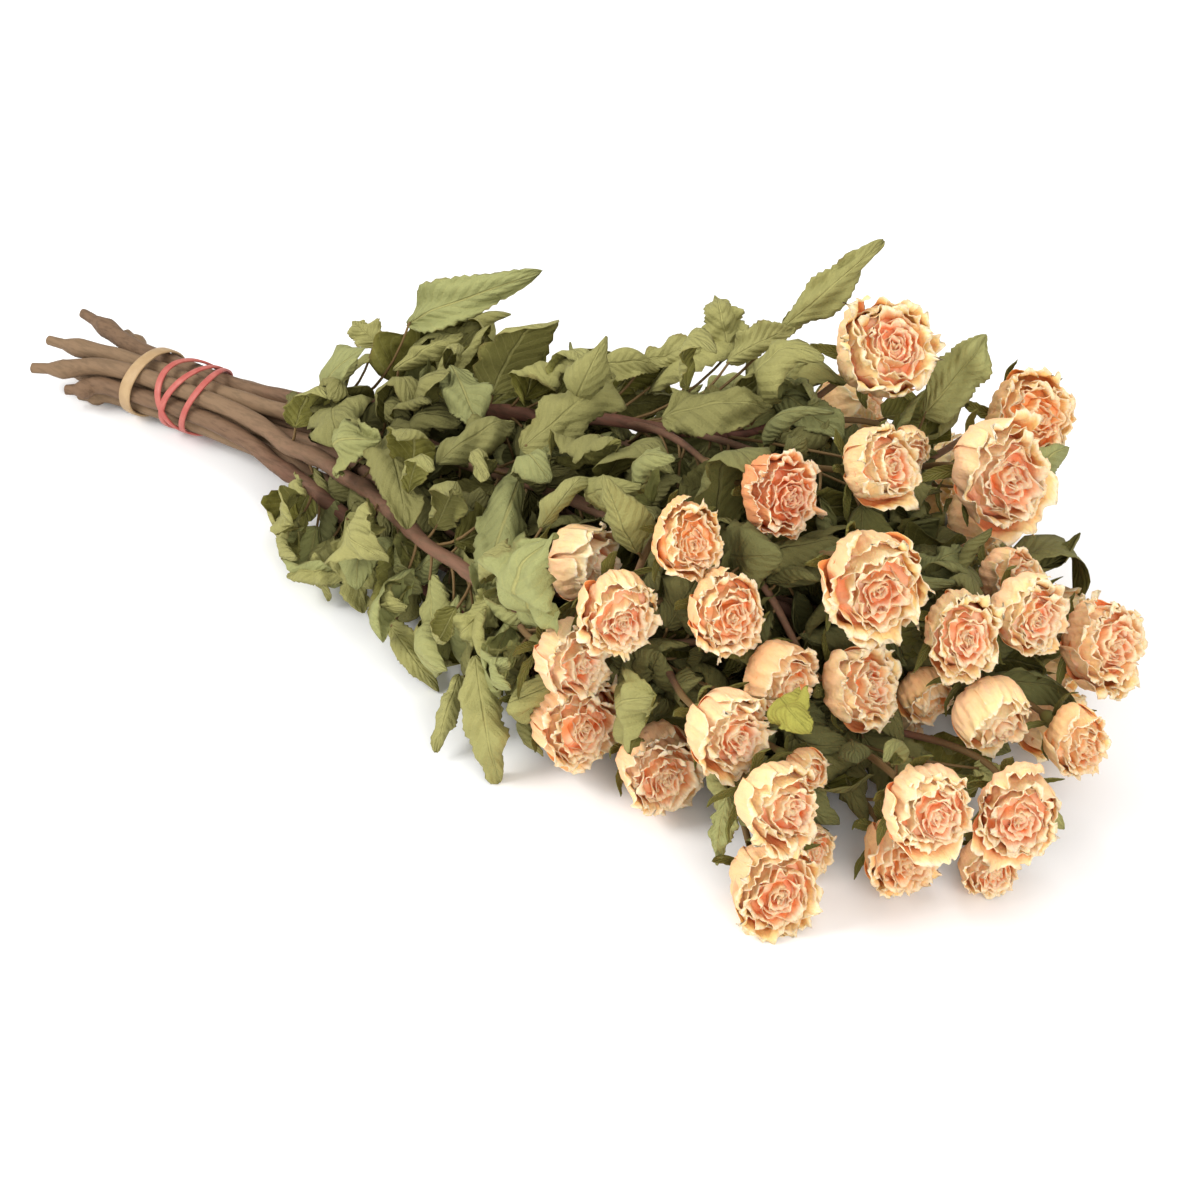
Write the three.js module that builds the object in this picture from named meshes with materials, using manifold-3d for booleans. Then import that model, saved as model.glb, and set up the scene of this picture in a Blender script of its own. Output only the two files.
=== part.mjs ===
// A bunch of dried spray roses, lying down: ten woody stems held near their cut ends by a natural
// rubber band and a red one, with dried leaves along the stems and small roses at the far end.
// Millimetres, +Z up. X runs along the bunch from the cut ends to the roses, and the origin is the
// middle of the bunch's footprint on the surface it lies on.

import * as THREE from 'three';
import { mergeVertices } from 'three/addons/utils/BufferGeometryUtils.js';
import Module from 'manifold-3d';

const wasm = await Module();
wasm.setup();

// ---------------------------------------------------------------- driving dimensions
const CLEARANCE = 0.3; // gap between neighbouring pieces
const WELD = 1e-3; // vertices nearer than this are one vertex
const SLIVER = 0.02; // detail finer than this is closed up where pieces are fused

const TIE = { x: -190, height: 16.5, slope: 0.1, from: -216, to: -150 }; // where the bands hold the stems
const STEM = { radius: 3.7, pitch: 8.4, rows: [3, 4, 3], sides: 5 };
const TAIL = { radius: 2.4, share: 0.36, shoulder: 4.4 }; // the thinner cut end and the knob behind it
const CROWN_RADIUS = 2.1; // a stem where its sprays part
const BUNCH_RISE = 0.155; // how the middle of the bunch climbs from the tie towards the roses

const BRANCH = { radius: 1.7, sides: 4, spread: 0.05, sunk: 0.3, reach: 0.4, stations: [0, 0.33, 0.66] };
const HIP = { radius: 3.4, length: 7, neck: 0.75 }; // the swelling under each rose

const LEAF = { thickness: 0.8, sink: 2.5, tooth: 0.16, wave: 0.08, counter: 0.7 };
const PETIOLE = { radius: 0.9, sides: 3, stations: [0, 0.5, 1], lead: 0.75, bend: 0.5 };
const TRIES = { count: 15, swing: 9, lift: 1.8 }; // how a leaf is bent clear of its neighbours
const FLOOR_ROOM = 0.3; // a leaf stays this far above the surface

const FILL = { // the leaves that grow along every stem by rule: a leaflet at the end of a stalk and a pair
  from: -100, spacing: 36, jitter: 0.6, petiole: 18, length: 46, pair: 0.8, slim: 0.62, fan: 52, lead: 6,
  climb: [0.575, 1.15], // how far a stalk leans out from its stem
  aim: [-75, 75], // degrees round the stem from straight out of the bunch
  lean: [-70, 70], // degrees that a blade's face turns about its stalk
  arch: [35, 120],
  roll: [35, 110],
  twist: [-40, 40],
};

const NATURAL_BAND = { x: -205, width: 5, thickness: 1.3, turns: [{ dx: 0, lean: 1.5, aim: 60 }] };
const RED_BAND = {
  x: -180, width: 2.6, thickness: 1.2,
  turns: [
    { dx: 0, lean: 10, aim: 290 },
    { dx: 0, lean: 5, aim: 40 },
    { dx: 6.5, lean: 6, aim: 110 },
  ],
};
const BAND_STEPS = 16; // straight stretches in a turn of a band
const HALVINGS = 24; // how often a stretch is halved to find a place on a curve

const COLOUR = {
  stem: { color: 0x6e6a4c, roughness: 0.85, metalness: 0 },
  rose: { color: 0xf2c79c, roughness: 0.8, metalness: 0 },
  naturalRubber: { color: 0xd9b98a, roughness: 0.55, metalness: 0 },
  redRubber: { color: 0xe0675c, roughness: 0.5, metalness: 0 },
};

// ---------------------------------------------------------------- the plan of the bunch
// Each stem: the place of its cut end, its row and seat in the tie, and its way on to its crown.
const STEMS = {
  A: {
    cut: [-256, -22, 13], seat: [2, 0],
    way: [[-104, -17, 31], [-60, -28, 39], [-24, -44, 45], [20, -58, 49], [52, -64, 50], [84, -66, 54]],
  },
  B: {
    cut: [-236, -22, 10], seat: [1, 0],
    way: [[-90, -24, 20], [-20, -44, 20], [46, -54, 16]],
  },
  C: {
    cut: [-250, -10, 8], seat: [1, 1],
    way: [[-90, -6, 27], [-10, -27, 38], [60, -44, 48], [112, -60, 54]],
  },
  D: {
    cut: [-238, -13, 1.7], seat: [0, 0],
    way: [[-90, -13, 16], [0, -30, 20], [80, -42, 28], [134, -50, 38]],
  },
  E: {
    cut: [-256, 0, 1.7], seat: [0, 1],
    way: [[-90, -1, 18], [0, -11, 22], [90, -22, 24], [160, -32, 30]],
  },
  F: {
    cut: [-264, -4, 15], seat: [2, 1],
    way: [[-90, 0, 39], [0, -10, 60], [75, -24, 76], [130, -29, 84]],
  },
  G: {
    cut: [-253, 7, 9], seat: [1, 2],
    way: [[-90, 6, 29], [0, 2, 42], [90, -8, 50], [150, -10, 56]],
  },
  H: {
    cut: [-247, 17, 1.7], seat: [0, 2],
    way: [[-90, 12, 20], [0, 18, 28], [90, 18, 40], [165, 20, 52]],
  },
  I: {
    cut: [-247, 26, 10], seat: [1, 3],
    way: [[-90, 25, 28], [0, 50, 42], [70, 68, 52], [115, 76, 60]],
  },
  J: {
    cut: [-268, 21, 15], seat: [2, 2],
    way: [[-90, 13, 42], [-27, 16, 64], [36, 22, 82], [78, 28, 90]],
  },
};

// Each rose: its stem, the middle of its head, its width, and where it faces (turn from +X, then tilt
// up, in degrees). A bud is closed, a cup is half open, an open rose shows all its rings of petals.
const ROSES = [
  { stem: 'J', at: [118, 73, 122], wide: 40, turn: -24, tilt: 43, form: 'open' },
  { stem: 'J', at: [138, 62, 92], wide: 17, turn: -28, tilt: 4, form: 'bud' },
  { stem: 'J', at: [155, 14, 116], wide: 30, turn: -9, tilt: 29, form: 'cup' },
  { stem: 'J', at: [136, -21, 116], wide: 30, turn: -16, tilt: 22, form: 'open' },
  { stem: 'I', at: [160, 111, 88], wide: 37, turn: -21, tilt: 30, form: 'open' },
  { stem: 'I', at: [178, 62, 96], wide: 40, turn: -16, tilt: 19, form: 'open' },
  { stem: 'A', at: [124, -59, 112], wide: 27, turn: -24, tilt: 16, form: 'open' },
  { stem: 'A', at: [111, -82, 88], wide: 31, turn: -32, tilt: 1, form: 'open' },
  { stem: 'A', at: [144, -63, 92], wide: 30, turn: -27, tilt: 19, form: 'open' },
  { stem: 'A', at: [92, -86, 60], wide: 30, turn: -7, tilt: 6, form: 'cup' },
  { stem: 'A', at: [71, -52, 73], wide: 29, turn: 9, tilt: 13, form: 'bud' },
  { stem: 'B', at: [90, -81, 27], wide: 36, turn: -22, tilt: 8, form: 'open' },
  { stem: 'B', at: [127, -79, 22], wide: 34, turn: -28, tilt: 0, form: 'open' },
  { stem: 'C', at: [166, -91, 67], wide: 32, turn: -15, tilt: 6, form: 'open' },
  { stem: 'C', at: [163, -57, 68], wide: 28, turn: -11, tilt: -3, form: 'cup' },
  { stem: 'F', at: [185, -36, 62], wide: 30, turn: -5, tilt: 27, form: 'open' },
  { stem: 'F', at: [186, -35, 107], wide: 41, turn: -34, tilt: 12, form: 'open' },
  { stem: 'G', at: [211, -14, 84], wide: 31, turn: -37, tilt: 18, form: 'open' },
  { stem: 'H', at: [221, 14, 80], wide: 30, turn: -18, tilt: 13, form: 'open' },
  { stem: 'H', at: [199, 39, 72], wide: 25, turn: -11, tilt: 23, form: 'cup' },
  { stem: 'G', at: [224, -12, 54], wide: 29, turn: -24, tilt: -13, form: 'bud' },
  { stem: 'H', at: [240, 37, 62], wide: 34, turn: -15, tilt: 25, form: 'open' },
  { stem: 'G', at: [250, 5, 43], wide: 26, turn: -22, tilt: 2, form: 'cup' },
  { stem: 'D', at: [195, -100, 55], wide: 31, turn: -18, tilt: 10, form: 'cup' },
  { stem: 'D', at: [193, -99, 14.5], wide: 36, turn: -37, tilt: 15, form: 'open' },
  { stem: 'D', at: [189, -71, 12], wide: 18, turn: -22, tilt: 8, form: 'cup' },
  { stem: 'E', at: [237, -71, 56], wide: 33, turn: -28, tilt: 10, form: 'open' },
  { stem: 'E', at: [254, -40, 42], wide: 32, turn: -46, tilt: 7, form: 'open' },
  { stem: 'E', at: [222, -62, 20], wide: 32, turn: -32, tilt: 1, form: 'open' },
  { stem: 'E', at: [245, -40, 12], wide: 23, turn: -34, tilt: -2, form: 'cup' },
  { stem: 'G', at: [193, -6, 43], wide: 21, turn: -21, tilt: -15, form: 'bud' },
  { stem: 'D', at: [182, -66, 42], wide: 16, turn: -15, tilt: 6, form: 'bud' },
  { stem: 'I', at: [122, 112, 42], wide: 33, turn: 24, tilt: 8, form: 'open' },
  { stem: 'I', at: [168, 100, 14.5], wide: 34, turn: 20, tilt: -4, form: 'open' },
  { stem: 'H', at: [206, 70, 32], wide: 35, turn: 14, tilt: 4, form: 'open' },
  { stem: 'I', at: [90, 96, 72], wide: 30, turn: 30, tilt: 22, form: 'cup' },
  { stem: 'H', at: [224, 34, 22], wide: 30, turn: 6, tilt: -6, form: 'open' },
  { stem: 'I', at: [160, 78, 58], wide: 26, turn: 18, tilt: 10, form: 'cup' },
  { stem: 'E', at: [176, 4, 15], wide: 24, turn: 4, tilt: -10, form: 'bud' },
  { stem: 'H', at: [150, 40, 14], wide: 26, turn: 8, tilt: -18, form: 'cup' },
  { stem: 'I', at: [84, 84, 20], wide: 28, turn: 26, tilt: -6, form: 'open' },
];

// The leaves that show best: stem, base and tip of the blade, its width, the way its upper face looks,
// and how far it arches along its rib, rolls in from its edges and twists, in degrees.
const LEAVES = [
  ['J', [-84, 29, 77], [-31, 47, 112], 18, [0.3, -0.7, 0.6], 25, 35, 25],
  ['J', [-96, 21, 58], [-107, 31, 68], 12, [0.3, -0.5, 0.7], 20, 50, 0],
  ['J', [-76, 12, 66], [-57, 33, 80], 17, [0.2, -0.6, 0.7], 70, 80, 10],
  ['J', [-41, 7, 84], [-10, -12, 76], 22, [0.2, -0.3, 0.9], 75, 40, -15],
  ['F', [-105, 0, 50], [-63, -20, 46], 12, [0.3, -0.6, 0.7], 60, 90, 20],
  ['F', [-127, 3, 37], [-100, -4, 42], 9, [0.2, -0.5, 0.8], 30, 60, 0],
  ['A', [-52, -22, 62], [-12, -55, 54], 24, [0.4, -0.3, 0.8], 80, 50, 20],
  ['F', [-14, -34, 72], [0, 0, 84], 21, [0.3, -0.6, 0.7], 60, 40, -20],
  ['J', [20, -25, 88], [33, 24, 106], 22, [0.5, -0.5, 0.7], 30, 110, 10],
  ['J', [14, 27, 94], [39, 40, 102], 15, [0.1, -0.5, 0.8], 70, 60, 0],
  ['J', [28, 40, 98], [50, 55, 106], 12, [0, -0.6, 0.8], 40, 70, 15],
  ['J', [55, 62, 99], [42, 68, 124], 19, [0.5, -0.8, 0.3], 50, 60, 25],
  ['J', [62, 8, 102], [97, 34, 110], 25, [0.2, -0.5, 0.8], 70, 45, 10],
  ['J', [70, 70, 112], [89, 112, 140], 16, [0.5, -0.7, 0.5], 40, 80, -20],
  ['J', [62, 46, 104], [86, 66, 110], 14, [0.4, -0.6, 0.7], 60, 60, 10],
  ['J', [84, 48, 102], [122, 40, 100], 18, [0.2, -0.4, 0.9], 60, 50, -10],
  ['I', [130, 83, 92], [143, 106, 122], 20, [0.5, -0.7, 0.4], 45, 50, 20],
  ['I', [168, 76, 70], [199, 84, 72], 18, [0.3, -0.5, 0.8], 60, 40, 0],
  ['F', [132, -34, 84], [160, -58, 90], 20, [0.5, -0.5, 0.7], 50, 40, 15],
  ['A', [22, -27, 80], [42, -76, 62], 26, [0.5, -0.5, 0.7], 35, 30, 10],
  ['A', [76, -30, 92], [49, -43, 90], 15, [0.3, -0.4, 0.8], 50, 60, -10],
  ['B', [-14, -66, 14], [20, -78, 6], 13, [0.4, -0.6, 0.7], 40, 50, 0],
  ['B', [47, -86, 40], [75, -108, 2], 23, [0.6, -0.7, 0.4], 50, 45, 15],
  ['B', [-43, -55, 18], [-68, -68, 14], 13, [0.1, -0.5, 0.9], 60, 50, 0],
  ['A', [46, -68, 58], [36, -88, 40], 19, [0.4, -0.7, 0.6], 60, 60, 20],
  ['E', [225, -22, 36], [264, -20, 26], 17, [0.2, -0.3, 0.9], 50, 40, 10],
  ['B', [-56, -42, 34], [-26, -68, 14], 20, [0.5, -0.5, 0.7], 60, 60, 15],
  ['D', [168, -92, 42], [172, -105, 16], 11, [0.3, -0.9, 0.3], 30, 60, 0],
  ['C', [178, -72, 76], [196, -92, 82], 18, [-0.3, -0.5, 0.8], 70, 75, 0],
  ['E', [196, -46, 42], [224, -38, 34], 17, [0.3, -0.4, 0.8], 70, 50, 0],
  ['G', [176, 8, 80], [192, 22, 94], 18, [0.3, -0.4, 0.8], 60, 60, 10],
  ['J', [148, 38, 100], [166, 28, 96], 18, [0.2, -0.3, 0.9], 60, 50, 0],
  ['B', [-15, -53, 34], [17, -74, 22], 19, [0.5, -0.6, 0.6], 70, 60, -20],
  ['B', [-65, -38, 20], [-60, -62, 4], 15, [-0.2, -0.8, 0.5], 50, 50, 10],
  ['C', [50, -52, 54], [28, -60, 68], 18, [0.4, -0.6, 0.6], 60, 60, 10],
  ['B', [40, -80, 30], [58, -88, 8], 16, [0.4, -0.8, 0.4], 60, 60, 0],
].map(([stem, base, tip, wide, face, arch, roll, twist]) => (
  { stem, base, tip, wide, face, arch, roll, twist }
));
const LEAF_FORM = { stations: [0.24, 0.52, 0.8], columns: 3 };
const FILL_FORM = { stations: [0.32, 0.7], columns: 3 };

// ---------------------------------------------------------------- small helpers
const vector = ([x, y, z]) => new THREE.Vector3(x, y, z);
const along = (from, direction, distance) => from.clone().addScaledVector(direction, distance);
const radians = THREE.MathUtils.degToRad;
const mix = THREE.MathUtils.lerp;

// A repeatable draw between 0 and 1 for an item and one of its properties.
function draw(item, property) {
  const wave = Math.sin(item * 12.9898 + property * 78.233 + 4.1) * 4375.8545;
  return wave - Math.floor(wave);
}

// A repeatable draw between two limits.
const between = (low, high, item, property) => mix(low, high, draw(item, property));

// The number that stands for each drawn property, and the numbers that keep items apart.
const TRAIT = { first: 1, aim: 2, climb: 3, stalk: 4, lean: 5, ruffle: 3 };
const LEAFLET_TRAIT = { length: 1, width: 2, arch: 3, roll: 4, twist: 5 };
const ITEM = { nodesOnStem: 20, leaflets: 3, firstLeaflet: 500, rose: 97, ring: 17 };

// The part of a direction that is square to an axis, as a unit vector.
function squareTo(axis, direction) {
  return along(direction, axis, -direction.dot(axis)).normalize();
}

// ---------------------------------------------------------------- closed skins and solids
// A geometry's surface as a solid, with the vertices that share a place made one.
function solidOf(geometry) {
  geometry.deleteAttribute('normal');
  geometry.deleteAttribute('uv');
  const merged = mergeVertices(geometry, WELD);
  return new wasm.Manifold(new wasm.Mesh({
    numProp: 3,
    vertProperties: new Float32Array(merged.attributes.position.array),
    triVerts: new Uint32Array(merged.index.array),
  }));
}

// A closed skin as a solid, from its points and a flat list of its triangles' corners.
function solidFrom(points, faces) {
  const geometry = new THREE.BufferGeometry().setFromPoints(points);
  geometry.setIndex(faces);
  return solidOf(geometry);
}

// A solid's surface as a geometry.
function geometryOf(solid) {
  const { vertProperties, triVerts } = solid.getMesh();
  const geometry = new THREE.BufferGeometry();
  geometry.setAttribute('position', new THREE.BufferAttribute(vertProperties, 3));
  geometry.setIndex(new THREE.BufferAttribute(triVerts, 1));
  return geometry;
}

// Rings of points joined one to the next, with a pole closing each end. The rings turn
// anticlockwise as seen from the end pole.
function skinOfRings(rings, startPole, endPole) {
  const sides = rings[0].length;
  const points = [startPole, ...rings.flat(), endPole];
  const last = points.length - 1;
  const at = (ring, side) => 1 + ring * sides + (side % sides);
  const faces = [];
  for (let side = 0; side < sides; side += 1) {
    faces.push(0, at(0, side + 1), at(0, side));
    faces.push(last, at(rings.length - 1, side), at(rings.length - 1, side + 1));
  }
  for (let ring = 0; ring < rings.length - 1; ring += 1) {
    for (let side = 0; side < sides; side += 1) {
      faces.push(at(ring, side), at(ring, side + 1), at(ring + 1, side + 1));
      faces.push(at(ring, side), at(ring + 1, side + 1), at(ring + 1, side));
    }
  }
  return solidFrom(points, faces);
}

// A sheet given a thickness: both faces have the same triangles, and a rim joins them all round.
function skinOfSheet(points, normals, faces, thickness) {
  const count = points.length;
  const half = thickness / 2;
  const both = [
    ...points.map((point, i) => along(point, normals[i], half)),
    ...points.map((point, i) => along(point, normals[i], -half)),
  ];
  const edges = new Set();
  const all = [];
  for (const [a, b, c] of faces) {
    all.push(a, b, c, count + a, count + c, count + b);
    edges.add(`${a},${b}`).add(`${b},${c}`).add(`${c},${a}`);
  }
  for (const edge of edges) {
    const [a, b] = edge.split(',').map(Number);
    if (!edges.has(`${b},${a}`)) all.push(b, a, count + a, b, count + a, count + b);
  }
  return solidFrom(both, all);
}

// A round tube along a curve. Each station is a share of the curve's run and the radius there.
function tube(curve, stations, sides) {
  const chord = curve.getPoint(1).sub(curve.getPoint(0)).normalize();
  const up = Math.abs(chord.z) < 0.8 ? new THREE.Vector3(0, 0, 1) : new THREE.Vector3(0, 1, 0);
  const rings = stations.map(([share, radius]) => {
    const centre = curve.getPoint(share);
    const tangent = curve.getTangent(share);
    const normal = squareTo(tangent, up);
    const binormal = tangent.clone().cross(normal);
    return Array.from({ length: sides }, (_, side) => {
      const angle = (side / sides) * Math.PI * 2;
      return along(along(centre, normal, radius * Math.cos(angle)), binormal, radius * Math.sin(angle));
    });
  });
  return skinOfRings(rings, curve.getPoint(0), curve.getPoint(1));
}

// The largest of the separate bodies in a solid, which leaves scraps and sealed hollows behind.
// Slivers thinner than the given tolerance are closed up first.
function mainBody(solid) {
  const bodies = solidOf(geometryOf(solid.simplify(SLIVER))).decompose();
  return bodies.reduce((best, body) => (body.volume() > best.volume() ? body : best));
}

// ---------------------------------------------------------------- stems
// Where a stem's middle lies in the tie, by its row and its seat in the row.
function seatAt(x, [row, seat]) {
  const rowHeight = STEM.pitch * Math.sin(Math.PI / 3) * (row - 1);
  const y = STEM.pitch * (seat - (STEM.rows[row] - 1) / 2);
  return new THREE.Vector3(x, y, TIE.height + rowHeight + (x - TIE.x) * TIE.slope);
}

// The run of a stem: cut end, shoulder, both ends of the tie, and its way on.
function stemCurve({ cut, seat, way }) {
  const end = vector(cut);
  const held = seatAt(TIE.from, seat);
  const shoulder = end.clone().lerp(held, TAIL.share);
  const points = [end, shoulder, held, seatAt(TIE.to, seat), ...way.map(vector)];
  return new THREE.CatmullRomCurve3(points, false, 'catmullrom', 0.5);
}

const RUN = { shoulder: 1, tieStart: 2, tieEnd: 3 }; // which point of a stem's run is which

// The wood of a stem: a thin tail, a knob behind it, and a slow taper after the tie.
function stemWood(curve) {
  const spans = curve.points.length - 1;
  const stations = [];
  for (let place = 0; place <= spans; place += 0.5) {
    const taper = Math.max(0, (place - RUN.tieEnd) / (spans - RUN.tieEnd));
    let radius = mix(STEM.radius, CROWN_RADIUS, taper);
    if (place < RUN.shoulder) radius = TAIL.radius;
    if (place === RUN.shoulder) radius = TAIL.shoulder;
    stations.push([place / spans, radius]);
  }
  return tube(curve, stations, STEM.sides);
}

// The point of a stem at a given x, found by halving the stretch it lies in.
function stemPointAtX(curve, x) {
  let low = RUN.tieStart / (curve.points.length - 1);
  let high = 1;
  for (let halving = 0; halving < HALVINGS; halving += 1) {
    const middle = (low + high) / 2;
    if (curve.getPoint(middle).x < x) low = middle;
    else high = middle;
  }
  return { point: curve.getPoint(low), tangent: curve.getTangent(low) };
}

// ---------------------------------------------------------------- roses
// Where a rose faces.
function facing({ turn, tilt }) {
  const [yaw, pitch] = [radians(turn), radians(tilt)];
  return new THREE.Vector3(
    Math.cos(yaw) * Math.cos(pitch), Math.sin(yaw) * Math.cos(pitch), Math.sin(pitch),
  );
}

// The outline of a rose from its base to its heart, as shares of its radius: distance from the axis,
// height along it, and how strongly the petals show in that ring.
const ROSE_OUTLINES = {
  open: {
    base: -0.78, heart: 0.36,
    rings: [
      [0.4, -0.72, 0], [0.86, -0.22, 0.3], [1, 0.3, 1], [0.77, 0.14, 0.5],
      [0.66, 0.52, 1], [0.46, 0.32, 0.5], [0.33, 0.62, 1],
    ],
  },
  cup: {
    base: -0.9, heart: 0.5,
    rings: [
      [0.42, -0.84, 0], [0.88, -0.3, 0.2], [0.97, 0.32, 0.8], [0.76, 0.3, 0.5],
      [0.62, 0.66, 0.9], [0.42, 0.5, 0.4], [0.3, 0.76, 0.8],
    ],
  },
  bud: {
    base: -1.05, heart: 0.78,
    rings: [
      [0.4, -1, 0], [0.9, -0.42, 0.2], [0.94, 0.24, 0.5], [0.8, 0.34, 0.5],
      [0.58, 0.72, 0.8], [0.4, 0.68, 0.4], [0.24, 0.94, 0.6],
    ],
  },
};
const PETALS = 5; // petals in each ring
const LARGE_ROSE = 39; // from this width a petal has a third point
const ROSE_GAP = CLEARANCE + 0.1; // between a rose and the swelling under it
const STAGGER = 0.5; // how far each ring is turned against the one outside it, in points
const RIM = { // how a ring's points leave their circle, as shares of the radius
  lapOut: 0.13, lapUp: 0.12, ruffleOut: 0.09, ruffleUp: 0.14,
};

// A rose's body: one skin whose rings step in and out as overlapping petals, with waved rims.
function roseBody(rose, index) {
  const axis = facing(rose);
  const side = squareTo(axis, new THREE.Vector3(0, 0, 1));
  const across = axis.clone().cross(side);
  const radius = rose.wide / 2;
  const outline = ROSE_OUTLINES[rose.form];
  const points = PETALS * (rose.wide >= LARGE_ROSE ? 3 : 2);
  const perPetal = points / PETALS;
  const rings = outline.rings.map(([out, up, show], ring) => (
    Array.from({ length: points }, (_, step) => {
      const angle = ((step + ring * STAGGER) / points) * Math.PI * 2;
      const lap = (step % perPetal) / (perPetal - 1) - 0.5; // one side of a petal lies over the next
      const ruffle = between(-0.5, 0.5, index * ITEM.rose + ring * ITEM.ring + step, TRAIT.ruffle);
      const reach = radius * out * (1 + show * (RIM.lapOut * lap + RIM.ruffleOut * ruffle));
      const height = radius * (up + show * (RIM.lapUp * lap + RIM.ruffleUp * ruffle));
      const foot = along(vector(rose.at), axis, height);
      return along(along(foot, side, reach * Math.cos(angle)), across, reach * Math.sin(angle));
    })
  ));
  const base = along(vector(rose.at), axis, radius * outline.base);
  const heart = along(vector(rose.at), axis, radius * outline.heart);
  return skinOfRings(rings, base, heart);
}

// The side branch that carries a rose, from its stem to the swelling under the petals.
function branchWood(rose, stem, order) {
  const axis = facing(rose);
  const end = along(vector(rose.at), axis, (rose.wide / 2) * ROSE_OUTLINES[rose.form].base - ROSE_GAP);
  const share = 1 - BRANCH.spread * (order + BRANCH.sunk);
  const start = stem.getPoint(share);
  const reach = start.distanceTo(end) * BRANCH.reach;
  const lead = along(start, stem.getTangent(share), reach);
  const curve = new THREE.CubicBezierCurve3(start, lead, along(end, axis, -reach), end);
  const hip = HIP.length / curve.getLength();
  const stations = BRANCH.stations.map((place) => [place, BRANCH.radius]);
  stations.push([1 - hip, BRANCH.radius], [1 - hip / 2, HIP.radius], [1, HIP.radius * HIP.neck]);
  return tube(curve, stations, BRANCH.sides);
}

// ---------------------------------------------------------------- leaves
// The way out from the middle of the bunch at a point.
function outward(point) {
  const middle = TIE.height + (point.x - TIE.x) * BUNCH_RISE;
  return new THREE.Vector3(0, point.y, point.z - middle).normalize();
}

// How far a leaf's edge stands from its rib, as a share of half its width.
const leafOutline = (s) => Math.sin(Math.PI * s ** 0.8) ** 0.75;

// A point of a blade and the blade's normal there. s runs from base to tip and w from edge to edge.
// The rib is an arc over the line from base to tip, and each section across it is an arc as well.
function leafPoint(leaf, s, w) {
  const chord = leaf.tip.clone().sub(leaf.base);
  const length = chord.length();
  const ahead = chord.normalize();
  const face = squareTo(ahead, leaf.face);
  const side = face.clone().cross(ahead);
  const arch = radians(leaf.arch);
  const bow = length / (2 * Math.sin(arch / 2));
  const turn = arch * (s - 0.5);
  const rib = along(leaf.base, ahead, bow * (Math.sin(turn) + Math.sin(arch / 2)));
  rib.addScaledVector(face, bow * (Math.cos(turn) - Math.cos(arch / 2)));
  const tangent = ahead.clone().multiplyScalar(Math.cos(turn)).addScaledVector(face, -Math.sin(turn));
  const twist = radians(leaf.twist) * (s - 0.5);
  const normal = face.clone().multiplyScalar(Math.cos(turn)).addScaledVector(ahead, Math.sin(turn));
  normal.applyAxisAngle(tangent, twist);
  const edge = side.applyAxisAngle(tangent, twist);
  const roll = radians(leaf.roll) / 2;
  const half = (leaf.wide / 2) * leafOutline(s);
  const point = along(rib, edge, (half * Math.sin(roll * w)) / roll);
  point.addScaledVector(normal, (-half * (1 - Math.cos(roll * w))) / roll);
  const upright = normal.multiplyScalar(Math.cos(roll * w)).addScaledVector(edge, Math.sin(roll * w));
  return { point, normal: upright };
}

// A blade with teeth and waves along its edges.
function leafBlade(leaf, form) {
  const points = [];
  const normals = [];
  const put = (s, w, lift) => {
    const { point, normal } = leafPoint(leaf, s, w);
    points.push(along(point, normal, lift));
    normals.push(normal);
  };
  put(0, 0, 0);
  form.stations.forEach((s, row) => {
    const notched = row % 2 === 0;
    for (let column = 0; column < form.columns; column += 1) {
      const w = (column / (form.columns - 1)) * 2 - 1;
      const tooth = notched ? 1 - LEAF.tooth : 1;
      const wave = LEAF.wave * leaf.wide * w * w * (notched ? -1 : 1) * (w > 0 ? 1 : -LEAF.counter);
      put(s, w * tooth, wave);
    }
  });
  put(1, 0, 0);
  const { columns } = form;
  const rows = form.stations.length;
  const at = (row, column) => 1 + row * columns + column;
  const tip = points.length - 1;
  const faces = [];
  for (let column = 0; column < columns - 1; column += 1) {
    faces.push([0, at(0, column), at(0, column + 1)]);
    for (let row = 0; row < rows - 1; row += 1) {
      faces.push([at(row, column), at(row + 1, column), at(row + 1, column + 1)]);
      faces.push([at(row, column), at(row + 1, column + 1), at(row, column + 1)]);
    }
    faces.push([at(rows - 1, column), tip, at(rows - 1, column + 1)]);
  }
  return skinOfSheet(points, normals, faces, LEAF.thickness);
}

// The thin stalk from the middle of a stem to a point just inside a blade.
function petiole(start, lead, leaf) {
  const inside = leafPoint(leaf, LEAF.sink / leaf.base.distanceTo(leaf.tip), 0).point;
  const curve = new THREE.QuadraticBezierCurve3(start, lead, inside);
  return tube(curve, PETIOLE.stations.map((share) => [share, PETIOLE.radius]), PETIOLE.sides);
}

// The same leaf swung to one side of its base and lifted out, further with each try.
function swungLeaf(leaf, attempt) {
  const step = Math.ceil(attempt / 2);
  const swing = radians(TRIES.swing * step) * (attempt % 2 ? 1 : -1);
  const base = along(leaf.base, outward(leaf.base), TRIES.lift * step);
  const chord = leaf.tip.clone().sub(leaf.base).applyAxisAngle(leaf.face.clone().normalize(), swing);
  return { ...leaf, base, tip: base.clone().add(chord) };
}

// ---------------------------------------------------------------- rubber bands
// The outline of the held stems at an angle round the tie, a given distance outside them.
function tieOutline(angle, distance) {
  const aim = new THREE.Vector3(0, Math.cos(angle), Math.sin(angle));
  let furthest = null;
  STEM.rows.forEach((seats, row) => {
    for (let seat = 0; seat < seats; seat += 1) {
      const centre = seatAt(TIE.x, [row, seat]);
      if (!furthest || centre.dot(aim) > furthest.dot(aim)) furthest = centre;
    }
  });
  return along(furthest, aim, STEM.radius + distance).setX(0);
}

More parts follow.
